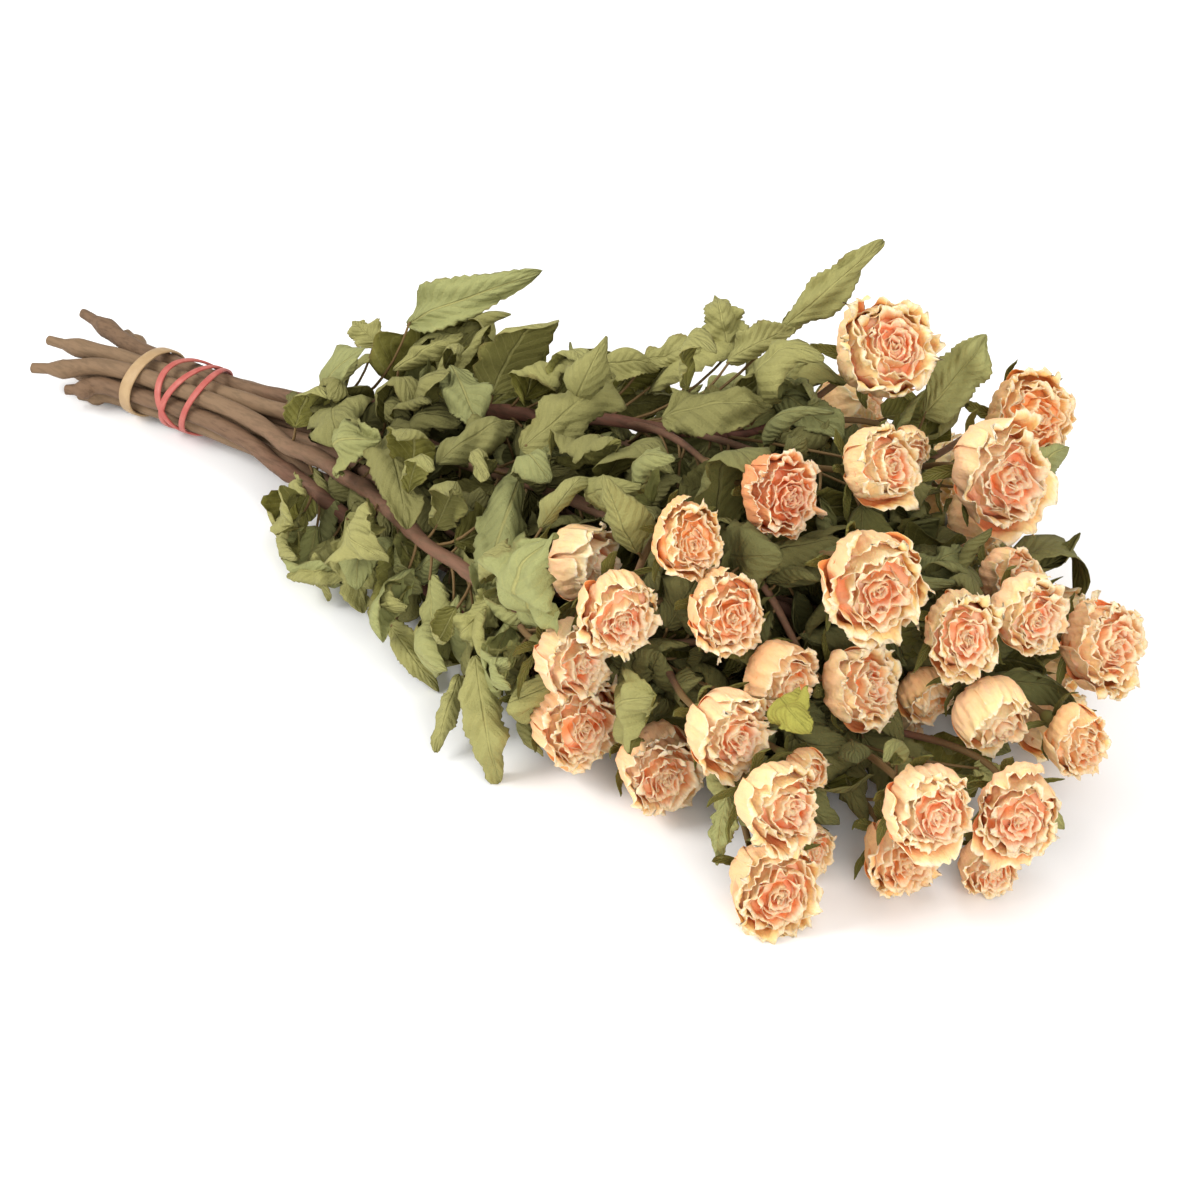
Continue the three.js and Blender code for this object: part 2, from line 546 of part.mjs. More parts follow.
// One closed turn of a band round the stems, leaning along them towards one side.
function bandTurn(band, turn) {
  const section = [
    [-0.5, 0], [0.5, 0], [0.5, 1], [-0.5, 1],
  ];
  const points = [];
  for (let step = 0; step < BAND_STEPS; step += 1) {
    const angle = (step / BAND_STEPS) * Math.PI * 2;
    const x = band.x + turn.dx + turn.lean * Math.cos(angle - radians(turn.aim));
    for (const [over, out] of section) {
      const point = tieOutline(angle, CLEARANCE + out * band.thickness);
      point.x = x + over * band.width;
      point.z += (point.x - TIE.x) * TIE.slope;
      points.push(point);
    }
  }
  const at = (step, corner) => (step % BAND_STEPS) * section.length + (corner % section.length);
  const faces = [];
  for (let step = 0; step < BAND_STEPS; step += 1) {
    for (let corner = 0; corner < section.length; corner += 1) {
      faces.push(at(step, corner), at(step, corner + 1), at(step + 1, corner + 1));
      faces.push(at(step, corner), at(step + 1, corner + 1), at(step + 1, corner));
    }
  }
  return solidFrom(points, faces);
}

// A band with all its turns, joined where they cross.
function rubberBand(band) {
  const turns = band.turns.map((turn) => bandTurn(band, turn));
  return mainBody(turns.reduce((whole, turn) => whole.add(turn)));
}

// ---------------------------------------------------------------- growing the bunch
// A block below the surface, which presses a flat spot on whatever reaches into it.
function surfaceBlock({ across, deep }) {
  return solidOf(new THREE.BoxGeometry(across, across, deep).translate(0, 0, -deep / 2));
}

const surface = surfaceBlock({ across: 1000, deep: 50 });

// Everything placed so far, with the stem it belongs to, for keeping new leaves clear.
const placed = [];

function place(solid, owner, kind) {
  placed.push({ solid, owner, kind, box: solid.boundingBox() });
}

// Whether two boxes come nearer to each other than the clearance.
function boxesMeet(a, b) {
  return [0, 1, 2].every((i) => a.min[i] < b.max[i] + CLEARANCE && b.min[i] < a.max[i] + CLEARANCE);
}

// Whether a solid keeps clear of the surface and of what is placed, its own stem's wood apart.
function isClear(solid, owner) {
  const box = solid.boundingBox();
  if (box.min[2] < FLOOR_ROOM) return false;
  return placed.every((other) => {
    if (other.owner === owner && other.kind === 'wood') return true;
    return !boxesMeet(box, other.box) || solid.minGap(other.solid, CLEARANCE) >= CLEARANCE;
  });
}

// The run of each stem, and what has grown on it so far, its own wood first.
const curves = Object.fromEntries(Object.entries(STEMS).map(([name, stem]) => [name, stemCurve(stem)]));
const growth = Object.fromEntries(
  Object.entries(curves).map(([name, curve]) => [name, [stemWood(curve)]]),
);
const roses = [];

// Every rose, with a flat spot pressed on those that touch the surface, and its branch.
function growRoses() {
  const branches = {};
  ROSES.forEach((rose, index) => {
    const order = branches[rose.stem] ?? 0;
    branches[rose.stem] = order + 1;
    const body = roseBody(rose, index);
    roses.push(body.boundingBox().min[2] < 0 ? body.subtract(surface) : body);
    growth[rose.stem].push(branchWood(rose, curves[rose.stem], order));
  });
}

// A leaf on its stalk in the first position that keeps clear, or none.
function growLeaf(leaf, form, stalk) {
  for (let attempt = 0; attempt < TRIES.count; attempt += 1) {
    const tried = swungLeaf(leaf, attempt);
    const blade = leafBlade(tried, form);
    const stem = stalk(tried);
    if (isClear(blade, leaf.stem) && (!stem || isClear(stem, leaf.stem))) {
      const whole = stem ? blade.add(stem) : blade;
      growth[leaf.stem].push(whole);
      place(whole, leaf.stem, 'leaf');
      return tried;
    }
  }
  return null;
}

// The leaves that show best, each on a long stalk that leaves its stem ahead of the blade.
function growShowingLeaves() {
  for (const entry of LEAVES) {
    const leaf = { ...entry, base: vector(entry.base), tip: vector(entry.tip), face: vector(entry.face) };
    growLeaf(leaf, LEAF_FORM, (tried) => {
      const curve = curves[leaf.stem];
      const level = stemPointAtX(curve, tried.base.x).point;
      const root = stemPointAtX(curve, tried.base.x - PETIOLE.lead * level.distanceTo(tried.base));
      const lead = along(root.point, root.tangent, root.point.distanceTo(tried.base) * PETIOLE.bend);
      return petiole(root.point, lead, tried);
    });
  }
}

// The way a filling leaf's stalk and blade lie at a node: where it roots, and its directions.
function fillingShoot(root, item) {
  const lengthways = new THREE.Vector3(1, 0, 0);
  const aim = radians(between(...FILL.aim, item, TRAIT.aim));
  const out = outward(root.point).applyAxisAngle(lengthways, aim);
  const ahead = along(root.tangent, out, between(...FILL.climb, item, TRAIT.climb)).normalize();
  const base = along(root.point, ahead, FILL.petiole * between(0.9, 1.5, item, TRAIT.stalk));
  const lean = radians(between(...FILL.lean, item, TRAIT.lean));
  return { base, ahead, face: squareTo(ahead, out).applyAxisAngle(ahead, lean) };
}

// One leaflet of a filling leaf, growing from a point in a direction.
function fillingLeaflet(stem, base, way, face, share, key) {
  const length = FILL.length * share * between(0.8, 1.25, key, LEAFLET_TRAIT.length);
  return {
    stem,
    base,
    tip: along(base, way, length),
    wide: length * FILL.slim * between(0.85, 1.2, key, LEAFLET_TRAIT.width),
    face,
    arch: between(...FILL.arch, key, LEAFLET_TRAIT.arch),
    roll: between(...FILL.roll, key, LEAFLET_TRAIT.roll),
    twist: between(...FILL.twist, key, LEAFLET_TRAIT.twist),
  };
}

// A filling leaf at a node: a leaflet at the end of the stalk, then one to each side of its base.
function growFillingLeaf(stem, root, item) {
  const { base, ahead, face } = fillingShoot(root, item);
  const key = item * ITEM.leaflets + ITEM.firstLeaflet;
  const stalk = (tried) => petiole(root.point, along(root.point, root.tangent, FILL.lead), tried);
  const first = growLeaf(fillingLeaflet(stem, base, ahead, face, 1, key), FILL_FORM, stalk);
  if (!first) return;
  [1, -1].forEach((side, pair) => {
    const way = ahead.clone().applyAxisAngle(face, radians(FILL.fan * side));
    const leaflet = fillingLeaflet(stem, first.base, way, face, FILL.pair, key + 1 + pair);
    growLeaf(leaflet, FILL_FORM, () => null);
  });
}

// Filling leaves at even steps along every stem, from the tie's end of the bunch to the crown.
function growFillingLeaves() {
  Object.entries(curves).forEach(([stem, curve], order) => {
    const crown = curve.getPoint(1).x;
    const first = FILL.from + between(0, FILL.spacing * FILL.jitter, order, TRAIT.first);
    for (let x = first, node = 0; x < crown; x += FILL.spacing, node += 1) {
      growFillingLeaf(stem, stemPointAtX(curve, x), order * ITEM.nodesOnStem + node);
    }
  });
}

growRoses();
for (const [name, pieces] of Object.entries(growth)) {
  pieces.forEach((piece) => place(piece, name, 'wood'));
}
roses.forEach((rose) => place(rose, 'rose', 'rose'));
const naturalBand = rubberBand(NATURAL_BAND);
const redBand = rubberBand(RED_BAND);
place(naturalBand, 'band', 'band');
place(redBand, 'band', 'band');
growShowingLeaves();
growFillingLeaves();

// ---------------------------------------------------------------- the finished group
// A solid as a named mesh with its own material.
function meshOf(name, solid, colour) {
  const geometry = geometryOf(solid);
  geometry.computeVertexNormals();
  const mesh = new THREE.Mesh(geometry, new THREE.MeshStandardMaterial(colour));
  mesh.name = name;
  return mesh;
}

// A piece's number from its place in its list, with two digits.
const number = (index) => String(index + 1).padStart(2, '0');

const bunch = new THREE.Group();
bunch.name = 'bunch_of_roses';
Object.values(growth).forEach((pieces, index) => {
  const whole = mainBody(pieces.reduce((sum, piece) => sum.add(piece)).subtract(surface));
  bunch.add(meshOf(`leafy_stem_${number(index)}`, whole, COLOUR.stem));
});
roses.forEach((rose, index) => {
  bunch.add(meshOf(`rose_${number(index)}`, rose, COLOUR.rose));
});
bunch.add(meshOf('rubber_band_natural', naturalBand, COLOUR.naturalRubber));
bunch.add(meshOf('rubber_band_red', redBand, COLOUR.redRubber));

// The origin is the middle of the footprint.
const extent = new THREE.Box3().setFromObject(bunch);
const middle = extent.getCenter(new THREE.Vector3());
bunch.position.set(-middle.x, -middle.y, -extent.min.z);
bunch.updateMatrixWorld(true);

export default bunch;
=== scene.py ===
"""The looks of a bunch of dried spray roses that lies on a pale surface.

Fine wood, curled leaves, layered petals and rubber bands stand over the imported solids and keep
their form. Sizes are millimetres in the bunch's own layout, and become metres in the row's frame
when a mesh is made.
"""

import sys
import logging
import math
from dataclasses import dataclass, field, replace
from enum import Enum, IntEnum
from functools import lru_cache
from typing import Iterator, Optional

import bpy
import numpy as np
from mathutils import Matrix, Vector
from mathutils.kdtree import KDTree


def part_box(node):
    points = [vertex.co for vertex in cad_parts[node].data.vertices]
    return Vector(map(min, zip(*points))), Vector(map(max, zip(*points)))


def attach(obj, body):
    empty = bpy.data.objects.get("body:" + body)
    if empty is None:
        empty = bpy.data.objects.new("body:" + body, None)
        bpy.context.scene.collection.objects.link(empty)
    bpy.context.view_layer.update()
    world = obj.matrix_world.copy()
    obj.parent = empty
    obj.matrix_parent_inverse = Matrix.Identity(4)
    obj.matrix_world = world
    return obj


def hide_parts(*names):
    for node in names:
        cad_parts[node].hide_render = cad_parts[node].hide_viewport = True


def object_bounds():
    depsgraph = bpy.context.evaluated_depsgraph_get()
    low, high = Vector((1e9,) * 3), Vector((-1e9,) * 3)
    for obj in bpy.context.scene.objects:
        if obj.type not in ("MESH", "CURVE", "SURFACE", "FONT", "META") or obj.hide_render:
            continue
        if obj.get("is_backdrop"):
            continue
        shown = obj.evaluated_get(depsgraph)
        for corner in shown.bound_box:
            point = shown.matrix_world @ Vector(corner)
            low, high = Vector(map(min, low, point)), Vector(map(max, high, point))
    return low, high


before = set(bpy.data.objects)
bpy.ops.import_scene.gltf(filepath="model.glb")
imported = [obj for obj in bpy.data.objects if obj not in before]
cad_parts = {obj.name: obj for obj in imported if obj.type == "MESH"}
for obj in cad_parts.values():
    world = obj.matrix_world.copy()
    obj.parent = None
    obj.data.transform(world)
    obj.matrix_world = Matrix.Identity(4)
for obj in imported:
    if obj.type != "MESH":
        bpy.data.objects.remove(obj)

Array = np.ndarray
Pair = tuple[float, float]
Material = bpy.types.Material
log = logging.getLogger("bunch")

CAD_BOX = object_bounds()
MM = 0.001

# -------- driving dimensions, in millimetres
TIE = {"x": -190.0, "height": 16.5, "slope": 0.1, "start": -216.0, "end": -150.0}
STEM = {"radius": 3.7, "pitch": 8.4, "rows": (3, 4, 3), "crown": 2.1}
TAIL = {"radius": 2.4, "share": 0.36, "shoulder": 4.4, "cut": 0.94, "swells": 0.55, "settles": 1.45}
RUN = {"shoulder": 1, "tie_start": 2, "tie_end": 3}
BARK = {
    "wander": 0.9, "wander_waves": 0.02, "free": 8.0, "fade": 40.0,
    "knots": 38.0, "shift": 13.0, "knot": 3.0, "bulge": 0.2,
    "grain": 0.05, "grain_waves": 1.1, "along": 0.05, "around": 0.8,
}
BUNCH_RISE = 0.155
BUNCH_FLATNESS = 0.82
BUNCH_OUTLINE = ((-120.0, -85.0, -40.0, 0.0, 90.0, 200.0, 245.0), (24.0, 56.0, 72.0, 76.0, 92.0, 88.0, 50.0))
# How far the painted shade on leaves reaches: full inside a share of the bunch's outline that grows from the
# first x to the second, then fading out over the next share.
PAINTED_SHADE = {"x": (70.0, 140.0), "from": (0.3, 0.5), "over": 0.55}
CLEARANCE = 0.3
FLOOR_GAP = 0.3
FOUND_WITHIN = 0.1
HALVINGS = 24
NEARBY = 1e-4
STEEP = 0.8
NO_LENGTH = 1e-9

BRANCH = {
    "radius": 1.35, "spread": 0.05, "sunk": 0.3, "reach": 0.4, "rings": ((0.0, 0.8, 18), (0.82, 1.0, 12)),
    "sides": 10, "thick": 1.15, "thinner": 0.3, "wobble": 0.05, "waves": 0.06,
}
HIP = {"radius": 3.3, "length": 7.0, "neck": 0.75, "full": 0.45, "rose": 13.0}
GREENING = {"from": 0.25, "over": 0.55, "branch": 0.45, "hip": 0.55}
SEPALS = {
    "count": 5, "wander": (-0.2, 0.2), "opening": (1.02, 1.6), "length": (1.0, 1.45), "width": (0.26, 0.36),
    "arch": (50.0, 85.0), "roll": 60.0, "twist": (-30.0, 30.0), "below": 0.6, "aside": 0.4, "lowest": 1.0,
    "dryness": 0.3,
}
ROSE_GAP = CLEARANCE + 0.1
ROSE_BASE = {"open": -0.78, "cup": -0.9, "bud": -1.05}
SHOWING_ROSES = 32
SHOWING_WOOD = (("A", -108.0, 12.0), ("J", -44.0, -18.0), ("J", 28.0, 78.0))
SHOWING_STEP = 7.0
GOLDEN_ANGLE = math.radians(137.5)

LEAF = {"thickness": 0.8, "sink": 2.5, "fine": 0.32, "thinner": 0.6}
PETIOLE = {"radius": 0.62, "lead": 0.75, "bend": 0.5, "taper": (1.25, 0.8), "rings": 9, "sides": 6}
TRIES = {"count": 15, "swing": 9.0, "lift": 1.8}
FILL = {
    "from": -100.0, "spacing": 36.0, "jitter": 0.6, "petiole": 18.0, "length": 46.0,
    "pair": 0.8, "slim": 0.62, "fan": 52.0, "lead": 6.0, "climb": (0.575, 1.15), "stalk": (0.9, 1.5),
    "aim": (-75.0, 75.0), "lean": (-70.0, 70.0), "arch": (35.0, 120.0),
    "roll": (35.0, 110.0), "twist": (-40.0, 40.0), "longer": (0.8, 1.25), "wider": (0.85, 1.2),
}
# A leaf blade's edge and buckles, as shares of its width, with places along it and across it.
BLADE = {
    "ends": (0.004, 0.996), "crowding": 0.85, "narrowest": 0.03, "laid": (1.6, 0.5),
    "notch": (0.03, 0.17), "between_notches": 0.1, "notch_from": 0.6, "notch_over": 0.4,
    "groove": 0.026, "groove_width": 0.16, "buckle_waves": 0.85, "buckle": (0.35, 0.65),
    "frill_waves": 2.0, "frill": (0.22, 0.4), "fold": (-0.3, 0.14), "hook": (-0.6, 0.14),
    "hook_from": 0.6, "hook_over": 0.4,
}
# A petal's form, with lengths in the rose's radii. The pairs of the notch, the circle, the crimp and the
# crinkle are a steady part and what the ruffle adds to it.
PETAL = {
    "crowding": 0.68, "belly": (0.95, 1.05), "wrap": (0.88, 1.12), "tip": 0.5, "past_tip": 1.25,
    "root": (0.04, 0.1), "foot": -0.76, "lean": (-100.0, 100.0), "curl": (0.35, 1.4), "steps": 44,
    "notch": (0.02, 0.8), "notch_waves": 0.6, "notch_span": 1.6, "corners": 0.22,
    "foot_width": (0.3, 0.7), "broad_from": 0.6, "narrow_tip": 0.16, "least_circle": 0.5,
    "circle": (1.0, 1.6), "drift": (-0.03, -0.06), "laid": (2.2, 0.8), "ruffle_waves": 0.95,
    "crimp_waves": 3.4, "crimp": (0.01, 0.42), "crinkle_waves": 1.7, "crinkle": (0.004, 0.26),
    "pleat_waves": 2.4, "pleat_ways": (1.6, 0.25), "pleats": 0.009,
    "fold": (0.3, 1.8), "crease": (-1.1, 0.9), "crease_width": 0.4,
    "turn": (-0.2, 0.2), "thickness": 0.34, "thinner": 0.2,
}
# How many numbers are kept for the parts of one thing, and where the seeds of its kinds start.
ITEM = {
    "nodes": 20, "leaflets": 3, "stem": 1000, "blade": 2, "sepals": 7, "petals": 50, "wander": 3, "warp": 5,
}
SEED = {
    "leaflet": 500, "filling": 700, "core": 900, "sepal": 4000, "bark": 50, "branch": 300, "branch_tone": 60,
}
# What the finishes read as the kind of a piece of wood, where a hip has 1, and the dryness of the fresh
# leaf and the mark of a sepal in the slot of a leaf's painted shade, which stand below 0 so that no other
# leaf has them.
MARK = {"bark": 0.0, "stalk": 0.5, "fresh": -1.0, "sepal": -1.0}
NATURAL_BAND = {"x": -205.0, "width": 5.0, "thickness": 1.3, "turns": ((0.0, 1.5, 60.0),)}
RED_BAND = {
    "x": -180.0, "width": 2.6, "thickness": 1.2,
    "turns": ((0.0, 10.0, 290.0), (0.0, 5.0, 40.0), (6.5, 6.0, 110.0)),
}

# The camera looks at the bunch from this turn about the vertical and this height, in degrees.
CAMERA = {
    "turn": 38.0, "height": 37.0, "distance": 1300.0, "lens": 99.0, "film": 36.0,
    "target": (38.6, 0.0, 10.81),
}

# Each stem: cut end, row and seat in the tie, and its way on to its crown.
STEMS = {
    "A": ((-256, -22, 13), (2, 0),
          ((-104, -17, 31), (-60, -28, 39), (-24, -44, 45), (20, -58, 49), (52, -64, 50), (84, -66, 54))),
    "B": ((-236, -22, 10), (1, 0), ((-90, -24, 20), (-20, -44, 20), (46, -54, 16))),
    "C": ((-250, -10, 8), (1, 1), ((-90, -6, 27), (-10, -27, 38), (60, -44, 48), (112, -60, 54))),
    "D": ((-238, -13, 1.7), (0, 0), ((-90, -13, 16), (0, -30, 20), (80, -42, 28), (134, -50, 38))),
    "E": ((-256, 0, 1.7), (0, 1), ((-90, -1, 18), (0, -11, 22), (90, -22, 24), (160, -32, 30))),
    "F": ((-264, -4, 15), (2, 1), ((-90, 0, 39), (0, -10, 60), (75, -24, 76), (130, -29, 84))),
    "G": ((-253, 7, 9), (1, 2), ((-90, 6, 29), (0, 2, 42), (90, -8, 50), (150, -10, 56))),
    "H": ((-247, 17, 1.7), (0, 2), ((-90, 12, 20), (0, 18, 28), (90, 18, 40), (165, 20, 52))),
    "I": ((-247, 26, 10), (1, 3), ((-90, 25, 28), (0, 50, 42), (70, 68, 52), (115, 76, 60))),
    "J": ((-268, 21, 15), (2, 2), ((-90, 13, 42), (-27, 16, 64), (36, 22, 82), (78, 28, 90))),
}

# Each rose: stem, middle of the head, width, turn from +X and tilt up in degrees, how far it is open,
# and how warm its colour is, from pale cream to deep orange.
ROSES = (
    ("J", (118, 73, 122), 40, -24, 43, "open", 0.35),
    ("J", (138, 62, 92), 17, -28, 4, "bud", 0.55),
    ("J", (155, 14, 116), 30, -9, 29, "cup", 0.45),
    ("J", (136, -21, 116), 30, -16, 22, "open", 1.0),
    ("I", (160, 111, 88), 37, -21, 30, "open", 0.7),
    ("I", (178, 62, 96), 40, -16, 19, "open", 0.35),
    ("A", (124, -59, 112), 27, -24, 16, "open", 0.65),
    ("A", (111, -82, 88), 31, -32, 1, "open", 0.3),
    ("A", (144, -63, 92), 30, -27, 19, "open", 0.55),
    ("A", (92, -86, 60), 30, -7, 6, "cup", 0.25),
    ("A", (71, -52, 73), 29, 9, 13, "bud", 0.3),
    ("B", (90, -81, 27), 36, -22, 8, "open", 0.5),
    ("B", (127, -79, 22), 34, -28, 0, "open", 0.5),
    ("C", (166, -91, 67), 32, -15, 6, "open", 0.35),
    ("C", (163, -57, 68), 28, -11, -3, "cup", 0.6),
    ("F", (185, -36, 62), 30, -5, 27, "open", 0.45),
    ("F", (186, -35, 107), 41, -34, 12, "open", 0.4),
    ("G", (211, -14, 84), 31, -37, 18, "open", 0.3),
    ("H", (221, 14, 80), 30, -18, 13, "open", 0.35),
    ("H", (199, 39, 72), 25, -11, 23, "cup", 0.5),
    ("G", (224, -12, 54), 29, -24, -13, "bud", 0.3),
    ("H", (240, 37, 62), 34, -15, 25, "open", 0.5),
    ("G", (250, 5, 43), 26, -22, 2, "cup", 0.6),
    ("D", (195, -100, 55), 31, -18, 10, "cup", 0.3),
    ("D", (193, -99, 14.5), 36, -37, 15, "open", 0.45),
    ("D", (189, -71, 12), 18, -22, 8, "cup", 0.5),
    ("E", (237, -71, 56), 33, -28, 10, "open", 0.35),
    ("E", (254, -40, 42), 32, -46, 7, "open", 0.3),
    ("E", (222, -62, 20), 32, -32, 1, "open", 0.6),
    ("E", (245, -40, 12), 23, -34, -2, "cup", 0.5),
    ("G", (193, -6, 43), 21, -21, -15, "bud", 0.7),
    ("D", (182, -66, 42), 16, -15, 6, "bud", 0.6),
    ("I", (122, 112, 42), 33, 24, 8, "open", 0.45),
    ("I", (168, 100, 14.5), 34, 20, -4, "open", 0.5),
    ("H", (206, 70, 32), 35, 14, 4, "open", 0.35),
    ("I", (90, 96, 72), 30, 30, 22, "cup", 0.5),
    ("H", (224, 34, 22), 30, 6, -6, "open", 0.45),
    ("I", (160, 78, 58), 26, 18, 10, "cup", 0.55),
    ("E", (176, 4, 15), 24, 4, -10, "bud", 0.5),
    ("H", (150, 40, 14), 26, 8, -18, "cup", 0.45),
    ("I", (84, 84, 20), 28, 26, -6, "open", 0.5),
)

# The base of the one leaf that has stayed light green.
FRESH_LEAF = (178, -72, 76)

# The leaves that show best: stem, base and tip of the blade, its width, the way its upper face looks,
# and how far it arches, rolls and twists in degrees.
LEAVES = (
    ("J", (-84, 29, 77), (-31, 47, 112), 18, (0.3, -0.7, 0.6), 25, 35, 25),
    ("J", (-96, 21, 58), (-107, 31, 68), 12, (0.3, -0.5, 0.7), 20, 50, 0),
    ("J", (-76, 12, 66), (-57, 33, 80), 17, (0.2, -0.6, 0.7), 70, 80, 10),
    ("J", (-41, 7, 84), (-10, -12, 76), 22, (0.2, -0.3, 0.9), 75, 40, -15),
    ("F", (-105, 0, 50), (-63, -20, 46), 12, (0.3, -0.6, 0.7), 60, 90, 20),
    ("F", (-127, 3, 37), (-100, -4, 42), 9, (0.2, -0.5, 0.8), 30, 60, 0),
    ("A", (-52, -22, 62), (-12, -55, 54), 24, (0.4, -0.3, 0.8), 80, 50, 20),
    ("F", (-14, -34, 72), (0, 0, 84), 21, (0.3, -0.6, 0.7), 60, 40, -20),
    ("J", (20, -25, 88), (33, 24, 106), 22, (0.5, -0.5, 0.7), 30, 110, 10),
    ("J", (14, 27, 94), (39, 40, 102), 15, (0.1, -0.5, 0.8), 70, 60, 0),
    ("J", (28, 40, 98), (50, 55, 106), 12, (0, -0.6, 0.8), 40, 70, 15),
    ("J", (55, 62, 99), (42, 68, 124), 19, (0.5, -0.8, 0.3), 50, 60, 25),
    ("J", (62, 8, 102), (97, 34, 110), 25, (0.2, -0.5, 0.8), 70, 45, 10),
    ("J", (70, 70, 112), (89, 112, 140), 16, (0.5, -0.7, 0.5), 40, 80, -20),
    ("J", (62, 46, 104), (86, 66, 110), 14, (0.4, -0.6, 0.7), 60, 60, 10),
    ("J", (84, 48, 102), (122, 40, 100), 18, (0.2, -0.4, 0.9), 60, 50, -10),
    ("I", (130, 83, 92), (143, 106, 122), 20, (0.5, -0.7, 0.4), 45, 50, 20),
    ("I", (168, 76, 70), (199, 84, 72), 18, (0.3, -0.5, 0.8), 60, 40, 0),
    ("A", (22, -27, 80), (42, -76, 62), 26, (0.5, -0.5, 0.7), 35, 30, 10),
    ("B", (-14, -66, 14), (20, -78, 6), 13, (0.4, -0.6, 0.7), 40, 50, 0),
    ("B", (47, -86, 40), (75, -108, 2), 23, (0.6, -0.7, 0.4), 50, 45, 15),
    ("B", (-43, -55, 18), (-68, -68, 14), 13, (0.1, -0.5, 0.9), 60, 50, 0),
    ("A", (46, -68, 58), (36, -88, 40), 19, (0.4, -0.7, 0.6), 60, 60, 20),
    ("E", (225, -22, 36), (264, -20, 26), 17, (0.2, -0.3, 0.9), 50, 40, 10),
    ("B", (-56, -42, 34), (-26, -68, 14), 20, (0.5, -0.5, 0.7), 60, 60, 15),
    ("D", (168, -92, 42), (172, -105, 16), 11, (0.3, -0.9, 0.3), 30, 60, 0),
    ("C", (178, -72, 76), (196, -92, 82), 18, (-0.3, -0.5, 0.8), 70, 75, 0),
    ("G", (176, 8, 80), (192, 22, 94), 18, (0.3, -0.4, 0.8), 60, 60, 10),
    ("J", (148, 38, 100), (166, 28, 96), 18, (0.2, -0.3, 0.9), 60, 50, 0),
    ("B", (-65, -38, 20), (-60, -62, 4), 15, (-0.2, -0.8, 0.5), 50, 50, 10),
    ("B", (40, -80, 30), (58, -88, 8), 16, (0.4, -0.8, 0.4), 60, 60, 0),
)


# -------- vectors and repeatable draws
DRAW = {"item": 12.9898, "trait": 78.233, "start": 4.1, "spread": 4375.8545}


def vec(values: tuple) -> Array:
    """A tuple of numbers as a vector."""
    return np.array(values, float)


def unit(v: Array) -> Array:
    """Vectors at length one."""
    return v / np.maximum(np.linalg.norm(v, axis=-1, keepdims=True), NO_LENGTH)


def square_to(axis: Array, direction: Array) -> Array:
    """The part of a direction that is square to an axis, at length one."""
    return unit(direction - axis * (axis * direction).sum(-1, keepdims=True))


def turned(v: Array, axis: Array, angle: Array) -> Array:
    """Vectors turned about an axis of length one.

    Rodrigues' formula: v cos a + (axis x v) sin a + axis (axis . v)(1 - cos a).

    Args:
        v: the vectors.
        axis, angle: the axis and the angle in radians, the same for all or one for each vector.

    Returns:
        The turned vectors.
    """
    angle = np.asarray(angle)[..., None]
    along = (axis * v).sum(-1, keepdims=True)
    return v * np.cos(angle) + np.cross(axis, v) * np.sin(angle) + axis * along * (1 - np.cos(angle))


def together(*parts: Array) -> Array:
    """Arrays brought to one shape and stacked along a new last axis."""
    return np.stack(np.broadcast_arrays(*parts), -1)


def mix(a: float, b: float, share: float) -> float:
    """The value a share of the way from a to b."""
    return a + (b - a) * share


def smooth(x: Array) -> Array:
    """A soft step from 0 to 1 as x goes from 0 to 1."""
    x = np.clip(x, 0.0, 1.0)
    return x * x * (3 - 2 * x)


class Trait(IntEnum):
    """What is drawn for a shoot, a piece of wood, a sepal, a leaf, a rose or a petal."""

    FIRST_SHOOT = 1
    SHOOT_AIM = 2
    SHOOT_CLIMB = 3
    SHOOT_STALK = 4
    SHOOT_LEAN = 5
    WOOD_TONE = 8
    SEPAL_PLACE = 21
    SEPAL_TONE = 27
    LEAF_TONE = 31
    LEAF_DRYNESS = 32
    ROSE_LENGTH = 42
    ROSE_WIDTH = 43
    PETAL_PLACE = 44
    PETAL_TONE = 45
    CORE_TONE = 46
    PETAL_BELLY = 47
    PETAL_LEAN = 48
    PETAL_CURL = 49
    PETAL_TIP = 50
    PETAL_WRAP = 51
    PETAL_FOLD = 52
    PETAL_CREASE = 53
    BLADE_FOLD = 71
    BLADE_HOOK = 72


class LeafletTrait(IntEnum):
    """What is drawn for the form of a leaflet that grows by rule, by the names of its limits."""

    LONGER = 1
    WIDER = 2
    ARCH = 3
    ROLL = 4
    TWIST = 5


class SepalTrait(IntEnum):
    """What is drawn for the form of a sepal, by the names of its limits."""

    OPENING = 22
    LENGTH = 23
    WIDTH = 24
    ARCH = 25
    TWIST = 26


def draw(item: float, trait: int) -> float:
    """A repeatable draw between 0 and 1 for an item's trait: the part after the point of a large sine."""
    wave = math.sin(item * DRAW["item"] + trait * DRAW["trait"] + DRAW["start"]) * DRAW["spread"]
    return wave - math.floor(wave)


def between(limits: Pair, item: float, trait: int) -> float:
    """A repeatable draw between two limits."""
    return mix(limits[0], limits[1], draw(item, trait))


@dataclass(frozen=True)
class Ripples:
    """Seeded waves in all directions: the mean of several sines of a point's place.

    Attributes:
        seed: which waves are drawn.
        scale: waves for each unit of length.
        count: how many sines are added.
        lengths: the slowest and the fastest sine, as shares of the scale.
    """

    seed: int
    scale: float
    count: int = 6
    lengths: Pair = (0.6, 1.5)

    def __call__(self, places: Array) -> Array:
        """The height of the waves at each place.

        Args:
            places: points of any number of dimensions.

        Returns:
            The heights, mostly between -1 and 1.
        """
        random = np.random.default_rng(self.seed)
        ways = unit(random.normal(size=(self.count, places.shape[-1])))
        ways *= random.uniform(*self.lengths, (self.count, 1)) * self.scale * math.tau
        phases = random.uniform(0, math.tau, self.count)
        return np.sin(places @ ways.T + phases).sum(-1) / math.sqrt(self.count)


